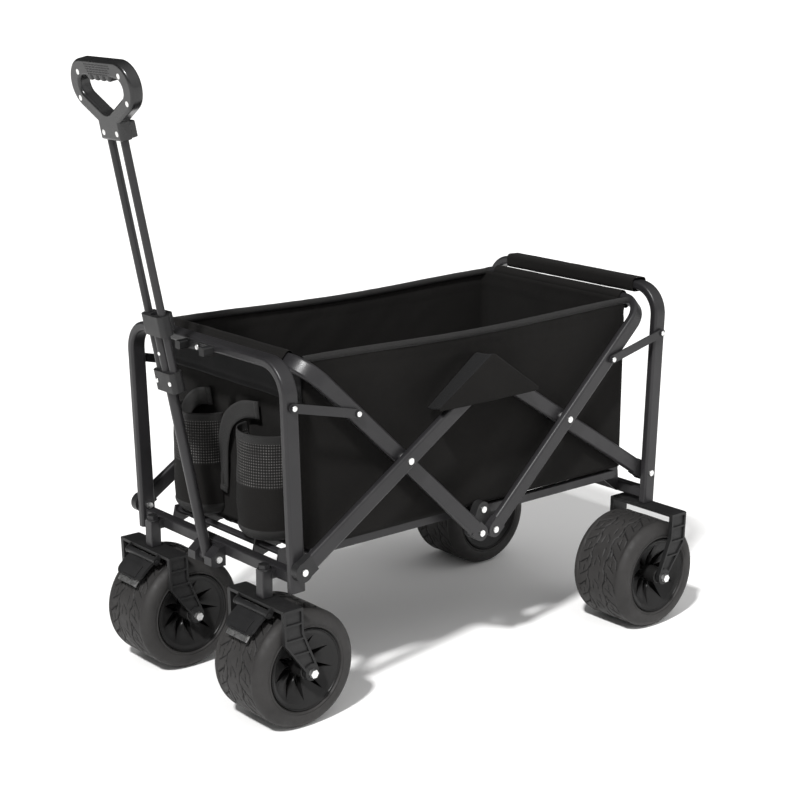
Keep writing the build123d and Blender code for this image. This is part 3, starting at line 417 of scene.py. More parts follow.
def strip(name, path, width_axes, width, thickness, finish, body, crown):
    """A flat strap along a path of points, with its width along one axis at each point and a slight crown."""
    path = [Vector(p) for p in path]
    columns = 7
    points, uvs = [], []
    travelled = 0.0
    for i, at in enumerate(path):
        before = path[max(i - 1, 0)]
        after = path[min(i + 1, len(path) - 1)]
        along = (after - before).normalized()
        across = width_axes[i]
        across = (across - along * across.dot(along)).normalized()
        up = across.cross(along)
        if i:
            travelled += (at - path[i - 1]).length
        for k in range(columns):
            t = k / (columns - 1) - 0.5
            points.append(at + across * width * t + up * crown * (0.25 - t * t) * 4)
            uvs.append((travelled, t * width))
    made = piece(name, points, grid_faces(len(path), columns), finish, body, uvs)
    thicken(made, thickness, 0)
    return made


# ---------------------------------------------------------------- wheels ---
WHEEL_R = pivot("rear_axle_left").z
TREAD_HALF = 0.047        # flat part of the tread, each side of the middle
REPEATS = 14              # tread pattern blocks round the tyre
AROUND = 392
PITCH = 2 * pi * WHEEL_R / REPEATS
BLOCK_MM = PITCH * 1000
GROOVE_Y = 18.5           # each long groove's distance from the middle of the tread, in mm
WAVE_AT = np.linspace(0, BLOCK_MM, 181)
WAVE = 2.4 * np.sin(2 * pi * WAVE_AT / BLOCK_MM) + 0.9 * np.sin(6 * pi * WAVE_AT / BLOCK_MM)
WHEEL_TURNS = {"front_left": 0.35, "front_right": 1.15, "rear_left": 0.05, "rear_right": 2.2}

# straight cuts of one tread block: (along, across) to (along, across), half width and depth, in mm
CUTS = [
    ((3, 7), (17, 7.6), 0.75, 2.2),
    ((25, -6.5), (39, -7.2), 0.75, 2.2),
    ((20, -4), (28, 5), 0.7, 1.6),
    ((28, 5), (36, 6), 0.7, 1.6),
    ((2, 24), (15, 27.5), 0.75, 2.0),
    ((22, 31), (34, 33), 0.7, 2.0),
    ((8, 27), (20, 42), 0.8, 2.2),
    ((20, 42), (33, 45), 0.8, 2.0),
    ((30, 23), (42, 40), 0.7, 1.5),
    ((24, -24), (37, -27.5), 0.75, 2.0),
    ((0, -31), (12, -33), 0.7, 2.0),
    ((30, -27), (42, -42), 0.8, 2.2),
    ((10, -42), (-3, -45), 0.8, 2.0),
    ((8, -23), (20, -40), 0.7, 1.5),
]


def near_cut(along, across, start, end):
    """Distance in mm from points on the tread to one straight cut."""
    dx, dy = end[0] - start[0], end[1] - start[1]
    t = ((along - start[0]) * dx + (across - start[1]) * dy) / (dx * dx + dy * dy)
    t = np.clip(t, 0, 1)
    return np.hypot(along - start[0] - t * dx, across - start[1] - t * dy)


def tread_depth(along, across):
    """Depth of the tread pattern in metres, and how deep each point lies in a cut as a share from 0 to 1, which
    darkens the rubber there as painted shade.
    """
    depth = np.zeros_like(along)
    for middle, shift in ((GROOVE_Y, 0), (-GROOVE_Y, BLOCK_MM / 2)):
        gap = np.abs(across - middle - np.interp((along + shift) % BLOCK_MM, WAVE_AT, WAVE))
        depth = np.maximum(depth, 3.2 * np.clip((1.5 - gap) / 0.7, 0, 1))
    for start, end, half, deep in CUTS:
        for shift in (-BLOCK_MM, 0, BLOCK_MM):
            gap = near_cut(along % BLOCK_MM + shift, across, start, end)
            depth = np.maximum(depth, deep * np.clip((half + 0.35 - gap) / 0.5, 0, 1))
    return depth / 1000, np.clip(depth / 1.6, 0, 1)


# outline of one tyre side, from the shoulder to the bead: (distance out from the middle, radius), in mm
SHOULDER = [(47.0, 99.9), (51.0, 99.2), (55.0, 97.4), (58.6, 94.6), (61.3, 91.2), (63.1, 87.2), (63.9, 82.5),
            (63.7, 78.6), (63.0, 75.8), (62.2, 75.0), (62.6, 74.0), (63.4, 73.3), (63.3, 72.4), (61.9, 71.4),
            (60.6, 70.9), (59.4, 70.2), (57.0, 70.1)]


def tyre_mesh():
    """Tyre turned about Y, with its pattern cut into a fine tread."""
    flat = np.linspace(-TREAD_HALF * 1000, TREAD_HALF * 1000, 80)
    outline = [(-y, r) for y, r in reversed(SHOULDER)] + [(y, 100.0) for y in flat[1:-1]] + SHOULDER
    across = np.array([p[0] for p in outline])
    radius = np.array([p[1] for p in outline])
    crown = np.where(np.abs(across) < 47, 0.9 * (across / 47) ** 2, 0)
    angle = np.linspace(0, 2 * pi, AROUND, endpoint=False)
    along = angle * WHEEL_R * 1000
    grid_along, grid_across = np.meshgrid(along, across, indexing="ij")
    depth, groove_shade = tread_depth(grid_along, grid_across)
    fade = np.clip((50.5 - np.abs(grid_across)) / 4, 0, 1)
    depth, groove_shade = depth * fade, groove_shade * fade
    r = (radius - crown)[None, :] / 1000 - depth
    x = r * np.sin(angle)[:, None]
    z = r * np.cos(angle)[:, None]
    y = np.broadcast_to(across / 1000, r.shape)
    mesh = bpy.data.meshes.new("tyre")
    points = np.stack([x, y, z], -1).reshape(-1, 3)
    mesh.from_pydata(points.tolist(), [], grid_faces(AROUND, len(outline), wrap_rows=True))
    mesh.polygons.foreach_set("use_smooth", [True] * len(mesh.polygons))
    # the cut share is stored on the points to paint shade into the grooves
    cut = mesh.attributes.new("groove_shade", "FLOAT", "POINT")
    cut.data.foreach_set("value", groove_shade.astype(np.float32).ravel())
    mesh.materials.append(tyre_rubber)
    mesh.update()
    return mesh


RIM_R = 0.0699
BOWL_R = 0.060            # inner edge of the rim's ring
BOSS_R = 0.0145
PETALS = 9
SLOT_TIP_R = 0.0565
SLOT_HALF = 0.0076        # half a slot's width beside the boss
RIB_ANGLE = 0.11          # angle from a slot to the rib on each side of it, in radians


def slot_half_angle(radius):
    """Half the angle of the pointed slot between two petals, at a radius."""
    if radius >= SLOT_TIP_R:
        return 0.0
    share = (SLOT_TIP_R - radius) / (SLOT_TIP_R - BOSS_R)
    return min(asin(min(SLOT_HALF * share ** 0.85 / radius, 0.9)), 0.8 * pi / PETALS)


def revolved(outline, steps=96):
    """Points and faces of an outline of (across, radius) pairs turned about Y."""
    points = []
    for i in range(steps):
        a = 2 * pi * i / steps
        points += [(r * sin(a), y, r * cos(a)) for y, r in outline]
    return points, grid_faces(steps, len(outline), wrap_rows=True)


def petal(side, index):
    """One smooth petal of the wheel's dished face, with its edges turned in along the slots."""
    rows, columns = 20, 15
    points = []
    for i in range(rows):
        radius = BOSS_R - 0.001 + (BOWL_R + 0.001 - BOSS_R) * (i / (rows - 1)) ** 0.9
        share = (radius - BOSS_R) / (BOWL_R - BOSS_R)
        depth = 0.033 + 0.0235 * max(share, 0) ** 1.35
        start = 2 * pi * index / PETALS + slot_half_angle(radius)
        end = 2 * pi * (index + 1) / PETALS - slot_half_angle(radius)
        opened = min(slot_half_angle(radius) * radius / 0.003, 1)
        for k in range(-2, columns + 2):
            t = min(max(k / (columns - 1), 0), 1)
            crown = 0.0035 * sin(pi * t) * (1 - share) * opened
            turned_in = 0.006 * opened * (max(-k, 0) + max(k - columns + 1, 0))
            a = start + (end - start) * t
            y = side * (depth + crown - turned_in)
            points.append((radius * sin(a), y, radius * cos(a)))
    faces = grid_faces(rows, columns + 4)
    return points, faces if side < 0 else [tuple(reversed(f)) for f in faces]


def plate(corners, normal, thickness):
    """Points and faces of a flat plate through a loop of corners."""
    shift = Vector(normal).normalized() * thickness / 2
    count = len(corners)
    points = [Vector(c) - shift for c in corners] + [Vector(c) + shift for c in corners]
    faces = [tuple(reversed(range(count))), tuple(range(count, 2 * count))]
    faces += [(i, (i + 1) % count, (i + 1) % count + count, i + count) for i in range(count)]
    return points, faces


def hub_mesh():
    """Moulded hub: ringed rim, nine petals on each face, ribs inside and the boss."""
    points, faces = [], []

    def add(made):
        start = len(points)
        points.extend(made[0])
        faces.extend(tuple(i + start for i in face) for face in made[1])

    rim = [(0.052, RIM_R), (0.0575, RIM_R), (0.0602, 0.0694), (0.0612, 0.0684), (0.0604, 0.0674),
           (0.0594, 0.0668), (0.0598, 0.0660), (0.0592, 0.0650), (0.0578, 0.0630), (0.0566, BOWL_R)]
    barrel = [(0.052, RIM_R), (-0.052, RIM_R)]
    inner = [(-0.0566, BOWL_R), (-0.050, 0.0595), (0.050, 0.0595), (0.0566, BOWL_R)]
    add(revolved(rim))
    add(revolved([(-y, r) for y, r in reversed(rim)]))
    add(revolved(barrel))
    add(revolved(inner))
    boss = [(-0.0655, 0.0052), (-0.0655, 0.0128), (-0.064, 0.0142), (-0.034, 0.0155), (0.034, 0.0155),
            (0.064, 0.0142), (0.0655, 0.0128), (0.0655, 0.0052)]
    add(revolved(boss, 48))
    add(revolved([(-0.0015, 0.0155), (-0.0015, 0.0595), (0.0015, 0.0595), (0.0015, 0.0155)]))
    for side in (1, -1):
        for index in range(PETALS):
            add(petal(side, index))
            for offset in (-RIB_ANGLE, RIB_ANGLE):
                a = 2 * pi * index / PETALS + offset
                out = Vector((sin(a), 0, cos(a)))
                corners = [out * r + Vector((0, side * y, 0)) for r, y in
                           ((0.015, 0.004), (0.059, 0.004), (0.059, 0.043), (0.036, 0.030), (0.015, 0.0275))]
                add(plate(corners, (cos(a), 0, -sin(a)), 0.0018))
    mesh = bpy.data.meshes.new("hub")
    mesh.from_pydata([tuple(p) for p in points], [], faces)
    mesh.polygons.foreach_set("use_smooth", [True] * len(mesh.polygons))
    mesh.materials.append(hub_plastic)
    mesh.update()
    return mesh


def wheels():
    """A detailed tyre and hub at each of the four axles."""
    tyre, hub = tyre_mesh(), hub_mesh()
    for end in ("front", "rear"):
        for side in SIDES:
            centre = pivot(f"{end}_axle_{side}")
            for kind, mesh in (("tyre", tyre), ("hub", hub)):
                made = bpy.data.objects.new(f"{end}_{kind}_{side}_detailed", mesh)
                scene.collection.objects.link(made)
                made.location = centre
                # each wheel stands at its own place in its turn
                made.rotation_euler.y = WHEEL_TURNS[f"{end}_{side}"]
                if kind == "hub":
                    angled = made.modifiers.new("edges", "EDGE_SPLIT")
                    angled.split_angle = radians(38)
                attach(made, f"{end}_wheel_{side}")
                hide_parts(f"{end}_{kind}_{side}")


# ---------------------------------------------------------------- basket ---
REAR_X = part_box("bag_rear_panel")[0].x
FRONT_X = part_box("bag_front_panel")[1].x
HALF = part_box("bag_front_panel")[1].y
LOW_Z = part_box("bag_floor")[0].z
TOP_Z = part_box("bag_front_panel")[1].z
CLOTH = 0.0016
CORNER = 0.014            # radius of the basket's upright corners


def soft(made, *replaced):
    """Hides the CAD parts a cloth piece replaces and gives the piece its own mesh."""
    if replaced:
        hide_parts(*replaced)
    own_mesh(made)
    return made


def ring_point(share, inset, corner):
    """Point on the basket's rounded outline and its outward direction. share runs once round."""
    a = (FRONT_X - REAR_X) / 2 - inset
    b = HALF - inset
    corner = max(corner, 0.0005)
    straight_x, straight_y = 2 * (a - corner), 2 * (b - corner)
    arc = pi * corner / 2
    lengths = [straight_y, arc, straight_x, arc, straight_y, arc, straight_x, arc]
    s = (share % 1.0) * sum(lengths)
    for i, length in enumerate(lengths):
        if s <= length or i == 7:
            break
        s -= length
    quarter = i // 2
    if i % 2 == 0:
        local = Vector((a, s - straight_y / 2)) if quarter % 2 == 0 else Vector((b, s - straight_x / 2))
        out = Vector((1, 0))
    else:
        t = s / corner
        middle = Vector((a - corner, b - corner)) if quarter % 2 == 0 else Vector((b - corner, a - corner))
        out = Vector((cos(t), sin(t)))
        local = middle + out * corner
    turn = Matrix.Rotation(pi / 2 * quarter, 2)
    return turn @ local, turn @ out


def cloth_noise(at, scale, seed):
    return noise.noise(Vector(at) * scale + Vector((seed, seed * 0.7, -seed)))


def wall_drape(at, out, height):
    """How far the wall's cloth lies in from its flat panel, at a height share from 0 to 1."""
    along = (at.x - REAR_X) / (FRONT_X - REAR_X) if abs(out.y) > 0.7 else (at.y + HALF) / (2 * HALF)
    reach = sin(pi * min(max(along, 0), 1))
    slack = 0.006 if abs(out.y) > 0.7 else 0.004
    dip = slack * reach * sin(pi * height) ** 0.8
    folds = 0.0026 * cloth_noise((at.x, at.y, at.z * 0.45), 9.0, 3.1)
    pulls = 0.0016 * cloth_noise((at.x + at.z, at.y + at.z, 0), 22.0, 8.2)
    puckers = 0.0005 * sin(along * 190) * max(0, 1 - abs(height - 0.93) / 0.06)
    return max(dip + (folds + pulls) * reach + puckers * reach, 0.0)


def basket():
    """The fabric tub: floor and four walls as one lofted shell with slack, folds and a sewn rim."""
    around = 440
    wall_rows = 46
    points, uvs = [], []
    total = 4 * (HALF + (FRONT_X - REAR_X) / 2)
    middle = Vector(((FRONT_X + REAR_X) / 2, 0))
    floor_rows = [0.16, 0.13, 0.10, 0.07, 0.045, 0.025, 0.01]
    for inset in floor_rows:
        for k in range(around):
            at, _ = ring_point(k / around, inset, CORNER + 0.3 * inset)
            at = at + middle
            lump = 0.0016 * cloth_noise((at.x, at.y, 0), 12.0, 5.5)
            points.append((at.x, at.y, LOW_Z + 0.0022 + max(lump, -0.001)))
            uvs.append((at.x, at.y))
    for row in range(wall_rows):
        height = row / (wall_rows - 1)
        z = LOW_Z + 0.002 + (TOP_Z - LOW_Z - 0.002) * height
        for k in range(around):
            at, out = ring_point(k / around, 0, CORNER)
            at = Vector((*(at + middle), z))
            end_wall = abs(out.x) > 0.7
            along = (at.x - REAR_X) / (FRONT_X - REAR_X)
            drop = 0 if end_wall else 0.007 * sin(pi * along) ** 2 * height ** 6
            inward = wall_drape(at, out, height)
            seam = 0.0009 if abs(at.z - (TOP_Z - 0.024)) < 0.004 else 0
            lip = 0.0012 if at.z > TOP_Z - 0.021 else 0
            inward = inward + seam - lip if inward > lip else inward + seam
            points.append((at.x - out.x * inward, at.y - out.y * inward, at.z - drop))
            uvs.append((k / around * total, z))
    rows = len(floor_rows) + wall_rows
    faces = grid_faces(rows, around, wrap_columns=True)
    faces.append(tuple(range(around)))
    faces = [tuple(reversed(f)) for f in faces[:-1]] + [faces[-1]]
    made = piece("basket", points, faces, canvas, "rear_frame", uvs)
    thicken(made, CLOTH, 1)
    apply_modifiers(made)
    length, width, height = FRONT_X - REAR_X, 2 * HALF, TOP_Z - LOW_Z
    return soft(made, "bag_sides", "bag_floor", "bag_front_panel", "bag_rear_panel")


def rim_rolls():
    """A rolled edge sewn along the top of each long side."""
    for name, side in SIDES.items():
        points, uvs = [], []
        rows, sections = 90, 12
        for i in range(rows):
            along = i / (rows - 1)
            x = REAR_X - 0.003 + (FRONT_X - REAR_X + 0.006) * along
            z = TOP_Z - 0.007 * sin(pi * along) ** 2 - 0.001
            for k in range(sections):
                a = 2 * pi * k / sections
                r = 0.0050 + 0.0003 * cloth_noise((x, side, a), 60, 1.7)
                y = side * (HALF - 0.0028) + r * cos(a)
                points.append((x, y, z + r * 1.25 * sin(a)))
                uvs.append((x, r * a))
        faces = grid_faces(rows, sections, wrap_columns=True)
        faces += [tuple(range(sections)), tuple(reversed(range((rows - 1) * sections, rows * sections)))]
        soft(piece(f"rim_roll_{name}", points, faces, hem_tape, "rear_frame", uvs))


# ------------------------------------------------------- front of basket ---
POCKET_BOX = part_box("front_pocket_left")
POCKET_Y = (POCKET_BOX[0].y + POCKET_BOX[1].y) / 2
POCKET_R = (POCKET_BOX[1].y - POCKET_BOX[0].y) / 2
POCKET_LOW_Z = POCKET_BOX[0].z
POCKET_TOP_Z = POCKET_BOX[1].z
POCKET_AT = {"left": POCKET_Y + 0.008, "right": -POCKET_Y - 0.008}
POCKET_DEPTH, POCKET_WIDE = 0.86, 0.97     # shares of a true half circle
BASE_BAND = 0.018         # dark curved base of a pocket
SOLID_TOP = POCKET_LOW_Z + 0.091
HEM_BAND = 0.014


def pockets():
    """Two half-round bottle pockets: a closed base, solid cloth, a net band and a taped hem."""
    rows, columns = 66, 57
    for name, side in SIDES.items():
        points, uvs = [], []
        for i in range(rows):
            rise = i / (rows - 1)
            z = POCKET_LOW_Z + (POCKET_TOP_Z - POCKET_LOW_Z) * rise
            for k in range(columns):
                a = pi * (k / (columns - 1) - 0.5)
                base = min((z - POCKET_LOW_Z) / BASE_BAND, 1)
                r = POCKET_R - 0.0012 - 0.012 * (1 - base) ** 2
                r += 0.0022 * sin(pi * rise) * cos(a)
                r += 0.0022 * cloth_noise((a * POCKET_R, z, side), 26, 4.4) * min(1, 4 * rise)
                r += 0.0011 if z > POCKET_TOP_Z - HEM_BAND or z < POCKET_LOW_Z + BASE_BAND else 0
                x = FRONT_X + 0.0006 + POCKET_DEPTH * r * cos(a)
                points.append((x, POCKET_AT[name] + POCKET_WIDE * r * sin(a), z))
                uvs.append((a * POCKET_R, z))
        faces = grid_faces(rows, columns)
        finishes = [canvas, pocket_net, hem_tape]
        made = piece(f"bottle_pocket_{name}", points, faces, finishes, "rear_frame", uvs)
        for face in made.data.polygons:
            z = face.center.z
            if z > POCKET_TOP_Z - HEM_BAND or z < POCKET_LOW_Z + BASE_BAND:
                face.material_index = 2
            elif z > SOLID_TOP:
                face.material_index = 1
        base = [(FRONT_X + 0.0006, POCKET_AT[name], POCKET_LOW_Z + 0.002)]
        base += [tuple(points[k]) for k in range(columns)]
        floor = piece(f"pocket_base_{name}", base, [(0, k + 2, k + 1) for k in range(columns - 1)], canvas,
                      "rear_frame", [(p[0], p[1]) for p in base])
        for one in (made, floor):
            thicken(one, CLOTH, -1)
            apply_modifiers(one)
        soft(made, f"front_pocket_{name}")
        soft(floor)


def curve_through(points, steps=14):
    """Catmull-Rom curve through a few points."""
    points = [Vector(p) for p in points]
    ends = [points[0] * 2 - points[1], *points, points[-1] * 2 - points[-2]]
    made = []
    for a, b, c, d in zip(ends, ends[1:], ends[2:], ends[3:]):
        for i in range(steps):
            t = i / steps
            made.append(0.5 * (2 * b + (c - a) * t + (2 * a - 5 * b + 4 * c - d) * t * t
                               + (3 * b - a - 3 * c + d) * t ** 3))
    return made + [points[-1]]


STRAP_WIDE = 0.029
STRAP_THICK = 0.0017


def front_straps():
    """Webbing sewn to the front wall: one level band and an arch beside each pocket."""
    paths = {
        "strap_level": [(-0.118, 0.356, 0.003), (-0.078, 0.358, 0.0055), (-0.036, 0.355, 0.003)],
        "strap_arch_left": [(-0.034, 0.341, 0.004), (-0.030, 0.385, 0.006), (-0.024, 0.425, 0.008),
                            (-0.006, 0.464, 0.010), (0.030, 0.489, 0.009), (0.068, 0.495, 0.004)],
        "strap_arch_right": [(-0.146, 0.341, 0.004), (-0.146, 0.385, 0.006), (-0.141, 0.425, 0.008),
                             (-0.127, 0.461, 0.010), (-0.099, 0.485, 0.009), (-0.066, 0.493, 0.004)],
    }
    for name, route in paths.items():
        path = curve_through([(FRONT_X + out, y, z) for y, z, out in route])
        normals = []
        for i, at in enumerate(path):
            along = (path[min(i + 1, len(path) - 1)] - path[max(i - 1, 0)]).normalized()
            normals.append(Vector((1, 0, 0)).cross(along))
        made = strip(name, path, normals, STRAP_WIDE, STRAP_THICK, webbing, "rear_frame", 0.0008)
        apply_modifiers(made)
        soft(made)
        for end, i in (("start", 0), ("end", -1)):
            box_stitch(f"{name}_{end}_stitch", path[i], normals[i])


def box_stitch(name, at, across):
    """A folded and sewn patch where a strap ends."""
    up = Vector((1, 0, 0)).cross(across)
    half = STRAP_WIDE / 2 + 0.0006
    points, uvs = [], []
    for i in range(6):
        for k in range(8):
            u, v = (i / 5 - 0.5) * 0.012, (k / 7 - 0.5) * 2 * half
            rise = 0.0016 + 0.0012 * (1 - (2 * i / 5 - 1) ** 4) * (1 - (2 * k / 7 - 1) ** 6)
            points.append(at + up * u + across * v + Vector((rise, 0, 0)))
            uvs.append((u, v))
    made = piece(name, points, grid_faces(6, 8), hem_tape, "rear_frame", uvs)
    thicken(made, 0.0012, 0)
    apply_modifiers(made)
    soft(made)


def front_overlap():
    """The band of lighter cloth folded over the top of the front wall, with a double seam."""
    rows, columns = 22, 90
    low, high, half = TOP_Z - 0.072, TOP_Z - 0.001, HALF - 0.006
    points, uvs = [], []
    for i in range(rows):
        z = low + (high - low) * i / (rows - 1)
        for k in range(columns):
            y = half * (2 * k / (columns - 1) - 1)
            swell = 0.0022 + 0.0016 * cloth_noise((0, y, z), 20, 6.6)
            swell -= 0.0011 if abs(z - low - 0.006) < 0.0013 or abs(z - low - 0.011) < 0.0013 else 0
            wave = 0.0015 * cloth_noise((0, y, 1), 14, 2.2) * (1 - i / (rows - 1))
            points.append((FRONT_X + swell, y, z + wave))
            uvs.append((y, z))
    made = piece("front_overlap", points, grid_faces(rows, columns), flap_cloth, "rear_frame", uvs)
    thicken(made, 0.0014, 1)
    apply_modifiers(made)
    soft(made)


# ----------------------------------------------------------- side flaps ---
APEX = pivot("fold") + Vector((pivot("front_leg_pivot").x - pivot("fold").x, 0, 0)) / 2
FLAP_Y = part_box("bag_sides")[1].y - 0.0025
# upper edge of a flap as (share from the front, x from the middle, z), outside the arms and on the wall
FLAP_OUTER = [(0.0, 0.133, 0.4925), (0.56, 0.019, 0.5665), (0.60, 0.012, 0.5665), (1.0, -0.091, 0.4935)]
FLAP_WALL = [(0.0, 0.112, 0.4800), (0.56, 0.008, 0.5565), (0.60, 0.002, 0.5575), (1.0, -0.089, 0.5060)]
FLAP_LOW_Z = 0.4885
GUSSET_ROWS = 9


def side_flaps():
    """A tent of cloth on each side that hides the top joint of the long arms: a gusset and a flat panel."""
    rows, columns = 30, 81
    outer_share = [p[0] for p in FLAP_OUTER]
    for name, side in SIDES.items():
        points, uvs = [], []
        for i in range(rows):
            for k in range(columns):
                u = k / (columns - 1)
                x, z = (float(np.interp(u, outer_share, [p[j] for p in FLAP_OUTER])) for j in (1, 2))
                wall_x, wall_z = (float(np.interp(u, outer_share, [p[j] for p in FLAP_WALL])) for j in (1, 2))
                if i < GUSSET_ROWS:
                    out = i / (GUSSET_ROWS - 1)
                    x, z = wall_x + (x - wall_x) * out, wall_z + (z - wall_z) * out
                    z -= 0.0016 * sin(pi * out)
                    y = HALF + 0.0006 + (FLAP_Y - HALF - 0.0006) * out
                    v = out * 0.05
                else:
                    down = (i - GUSSET_ROWS + 1) / (rows - GUSSET_ROWS)
                    low = FLAP_LOW_Z - 0.0012 * sin(pi * u)
                    z += (low - z) * down
                    y = FLAP_Y + 0.0016 * sin(pi * down) * sin(pi * u)
                    y += 0.0012 * cloth_noise((x, 0, z), 16, 9.1 * side) * sin(pi * u)
                    v = 0.05 + 0.078 * down
                points.append((APEX.x + x, side * y, z))
                uvs.append((x, v))
        faces = grid_faces(rows, columns)
        faces = faces if side > 0 else [tuple(reversed(f)) for f in faces]
        made = piece(f"side_flap_{name}", points, faces, [canvas, flap_cloth], "rear_frame", uvs)
        for index, face in enumerate(made.data.polygons):
            face.material_index = 1 if index < (GUSSET_ROWS - 1) * (columns - 1) else 0
        thicken(made, 0.0018, 0)
        apply_modifiers(made)
        soft(made)


# ---------------------------------------------------------- bar sleeves ---
BAR_WIDE, BAR_THIN = 0.028, 0.014
SLEEVE_HALF = 0.166       # half the length of each sleeve
SLEEVE_GAP = 0.0016
FRAME_THIN = 0.016
FRAME_LEAN = radians(2.0)
HOOP_PAST_CROSSING = 0.266


def rounded_section(wide, thin, corner, steps=6):
    """Rounded rectangle as (wide, thin) pairs."""
    made = []
    for quarter in range(4):
        cx = (wide / 2 - corner) * (1 if quarter in (0, 3) else -1)
        cy = (thin / 2 - corner) * (1 if quarter in (0, 1) else -1)
        for i in range(steps + 1):
            a = pi / 2 * (quarter + i / steps)
            made.append((cx + corner * cos(a), cy + corner * sin(a)))
    return made


def sleeve(name, centre, along, size, finish, body):
    """Cloth sewn round a cross bar, with small wrinkles. size is (wide, thin) of the sleeve."""
    wide = Vector((along.z, 0, -along.x))
    section = rounded_section(*size, 0.0066)
    rows = 120
    points, uvs = [], []
    for i in range(rows):
        y = SLEEVE_HALF * (2 * i / (rows - 1) - 1)
        for k, (w, t) in enumerate(section):
            puff = 1 + 0.03 * cloth_noise((w, y, t), 34, 7.7)
            points.append(Vector((centre.x, y, centre.z)) + wide * w * puff + along * t * puff)
            uvs.append((y, k * 0.0028))
    made = piece(name, points, grid_faces(rows, len(section), wrap_columns=True), finish, body, uvs)
    thicken(made, 0.0012, -1)
    apply_modifiers(made)


def bar_sleeves():
    """The basket's end walls are sewn round the hoops' cross bars, and the rear frame's bar is wrapped."""
    size = (BAR_WIDE + 2 * SLEEVE_GAP + 0.002, BAR_THIN + 2 * SLEEVE_GAP + 0.002)
    for end in ("front", "rear"):
        crossing, foot = pivot(f"{end}_crossing"), pivot(f"{end}_bracket")
        along = Vector((crossing.x - foot.x, 0, crossing.z - foot.z)).normalized()
        centre = crossing + along * HOOP_PAST_CROSSING
        sleeve(f"hoop_sleeve_{end}", centre, along, size, canvas, f"{end}_hoop")
    leg, top = pivot("fold"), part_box("rear_frame_tube")[1].z - FRAME_THIN / 2
    lean = Vector((-sin(FRAME_LEAN), 0, cos(FRAME_LEAN)))
    centre = leg + lean * (top - leg.z) / cos(FRAME_LEAN)
    sleeve("frame_sleeve_rear", centre, lean, (BAR_WIDE + 0.006, FRAME_THIN + 0.0075), canvas, "rear_frame")


# --------------------------------------------------------------- details ---
def dome(name, at, out, radius, height, body):
    """A bright domed rivet head standing on a surface."""
    out = Vector(out).normalized()
    first = out.orthogonal().normalized()
    second = out.cross(first)
    rings, steps = 7, 28
    points = [at - out * 0.0004 + (first * cos(a) + second * sin(a)) * radius
              for a in (2 * pi * k / steps for k in range(steps))]
    for i in range(rings):
        t = pi / 2 * i / rings
        for k in range(steps):
            a = 2 * pi * k / steps
            rise = out * height * (0.25 + 0.75 * sin(t))
            points.append(at + rise + (first * cos(a) + second * sin(a)) * radius * cos(t))
    points.append(at + out * height)
    faces = grid_faces(rings + 1, steps, wrap_columns=True)
    last = rings * steps
    faces += [(last + k, last + (k + 1) % steps, len(points) - 1) for k in range(steps)]
    faces.append(tuple(reversed(range(steps))))
    made = piece(name, points, faces, zinc, body)


LINK_RIVET_AT = 0.138     # from the hoop's crossing to the link's upper rivet
COLLAR_RIVET_Y = 0.0185
COLLAR_RIVET_AT = 0.316   # up the handle from its pivot
STOP_RIVET_AT = 0.364


def small_rivets():
    """Bright heads on the links, the handle clip, the collars and the handle's middle tube."""
    link_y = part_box("rear_links")[1].y
    for end in ("front", "rear"):
        crossing, foot = pivot(f"{end}_crossing"), pivot(f"{end}_bracket")
        along = Vector((crossing.x - foot.x, 0, crossing.z - foot.z)).normalized()
        at_hoop = crossing + along * LINK_RIVET_AT
        at_leg = pivot(f"{end}_link_pivot")
        for name, side in SIDES.items():
            for where, at in (("leg", at_leg), ("hoop", at_hoop)):
                dome(f"{end}_link_rivet_{where}_{name}", Vector((at.x, side * link_y, at.z)), (0, side, 0),
                     0.0046, 0.0016, f"{end}_links")
    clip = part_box("handle_clip")
    at = Vector((clip[0].x + 0.0056, 0, (clip[0].z + clip[1].z) / 2))
    dome("handle_clip_rivet", at, (1, 0, -0.035), 0.0046, 0.0022, "front_frame")
    foot = pivot("handle_pivot")
    slide = Vector(joints["handle_slide"]["axis"])
    forward = Vector((slide.z, 0, -slide.x))
    for name, side in SIDES.items():
        at = foot + slide * COLLAR_RIVET_AT + forward * 0.012 + Vector((0, side * COLLAR_RIVET_Y, 0))
        dome(f"collar_rivet_{name}", at, forward, 0.0042, 0.0018, "handle_grip")
    at = foot + slide * STOP_RIVET_AT + forward * 0.0088
    dome("handle_stop_rivet", at, forward, 0.0034, 0.0014, "handle_tube")


DOT_ROWS = 5
DOT_PITCH = 0.0042        # between dots along a row
DOT_ROW_PITCH = 0.0036
DOT_TOP_AT = 0.8285       # the top row, up the handle from its pivot
DOT_FACE_AT = 0.0110      # the grip's front face, from the handle's middle plane


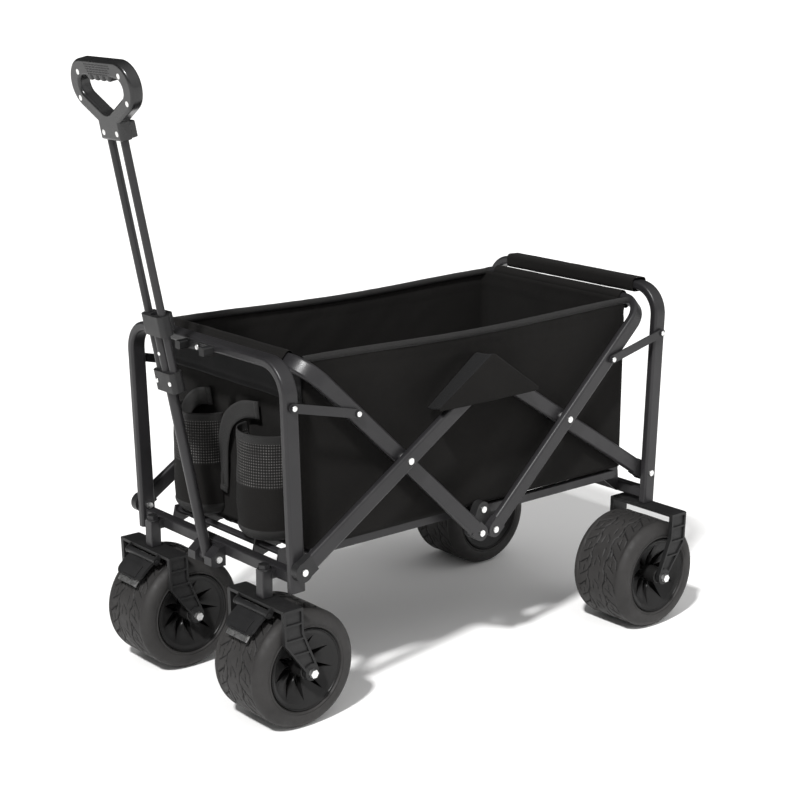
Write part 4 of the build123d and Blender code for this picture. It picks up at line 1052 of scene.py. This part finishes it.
def grip_texture():
    """Rows of small raised dots on the front of the grip's bar."""
    foot = pivot("handle_pivot")
    slide = Vector(joints["handle_slide"]["axis"])
    forward = Vector((slide.z, 0, -slide.x))
    points, faces = [], []
    for row in range(DOT_ROWS):
        count = 17 - 2 * (row // 2)
        for k in range(count):
            y = (k - (count - 1) / 2) * DOT_PITCH + (DOT_PITCH / 2 if row % 2 else 0)
            reach = DOT_TOP_AT - DOT_ROW_PITCH * row
            centre = foot + slide * reach + forward * DOT_FACE_AT + Vector((0, y, 0))
            start = len(points)
            for radius, rise in ((0.0014, 0), (0.0007, 0.0007)):
                for i in range(6):
                    a = pi / 3 * i
                    outward = Vector((0, cos(a), 0)) + slide * sin(a)
                    points.append(centre + outward * radius + forward * rise)
            for i in range(6):
                after = (i + 1) % 6
                faces.append((start + i, start + after, start + 6 + after, start + 6 + i))
            faces += [tuple(start + 6 + i for i in range(6)), tuple(start + 5 - i for i in range(6))]
    made = piece("grip_dots", points, faces, grip_plastic, "handle_grip", smooth=False)


def soften_edges():
    """Moulded CAD parts get the small rounds that catch the light along their edges."""
    for name in ("rear_forks", "caster_fork_left", "caster_fork_right", "caster_housings", "handle_yoke",
                 "handle_collar", "handle_slider", "brake_pedal_left", "brake_pedal_right", "handle_clip"):
        rounds = nodes[name].modifiers.new("rounds", "BEVEL")
        rounds.width = 0.0007
        rounds.segments = 2
        rounds.limit_method = "ANGLE"
        rounds.angle_limit = radians(50)


# ----------------------------------------------------------------- floor ---
def studio_floor():
    """A wide pale floor."""
    size = 60
    mesh = bpy.data.meshes.new("floor")
    corners = [(-size, -size, 0), (size, -size, 0), (size, size, 0), (-size, size, 0)]
    mesh.from_pydata(corners, [], [(0, 1, 2, 3)])
    made = bpy.data.objects.new("floor", mesh)
    scene.collection.objects.link(made)
    pale = Finish("pale_floor", (0.86, 0.855, 0.85), 0.6, specular=0.2)
    cloud = pale.ramp(pale.noise(1.3, 2), 0.3, 0.7, 0, 1)
    pale.color(pale.mix(cloud, (0.85, 0.846, 0.84), (0.87, 0.866, 0.86)))
    mesh.materials.append(pale.material)


dress_cad_nodes()
wheels()
basket()
rim_rolls()
pockets()
front_overlap()
front_straps()
side_flaps()
bar_sleeves()
small_rivets()
grip_texture()
soften_edges()
studio_floor()
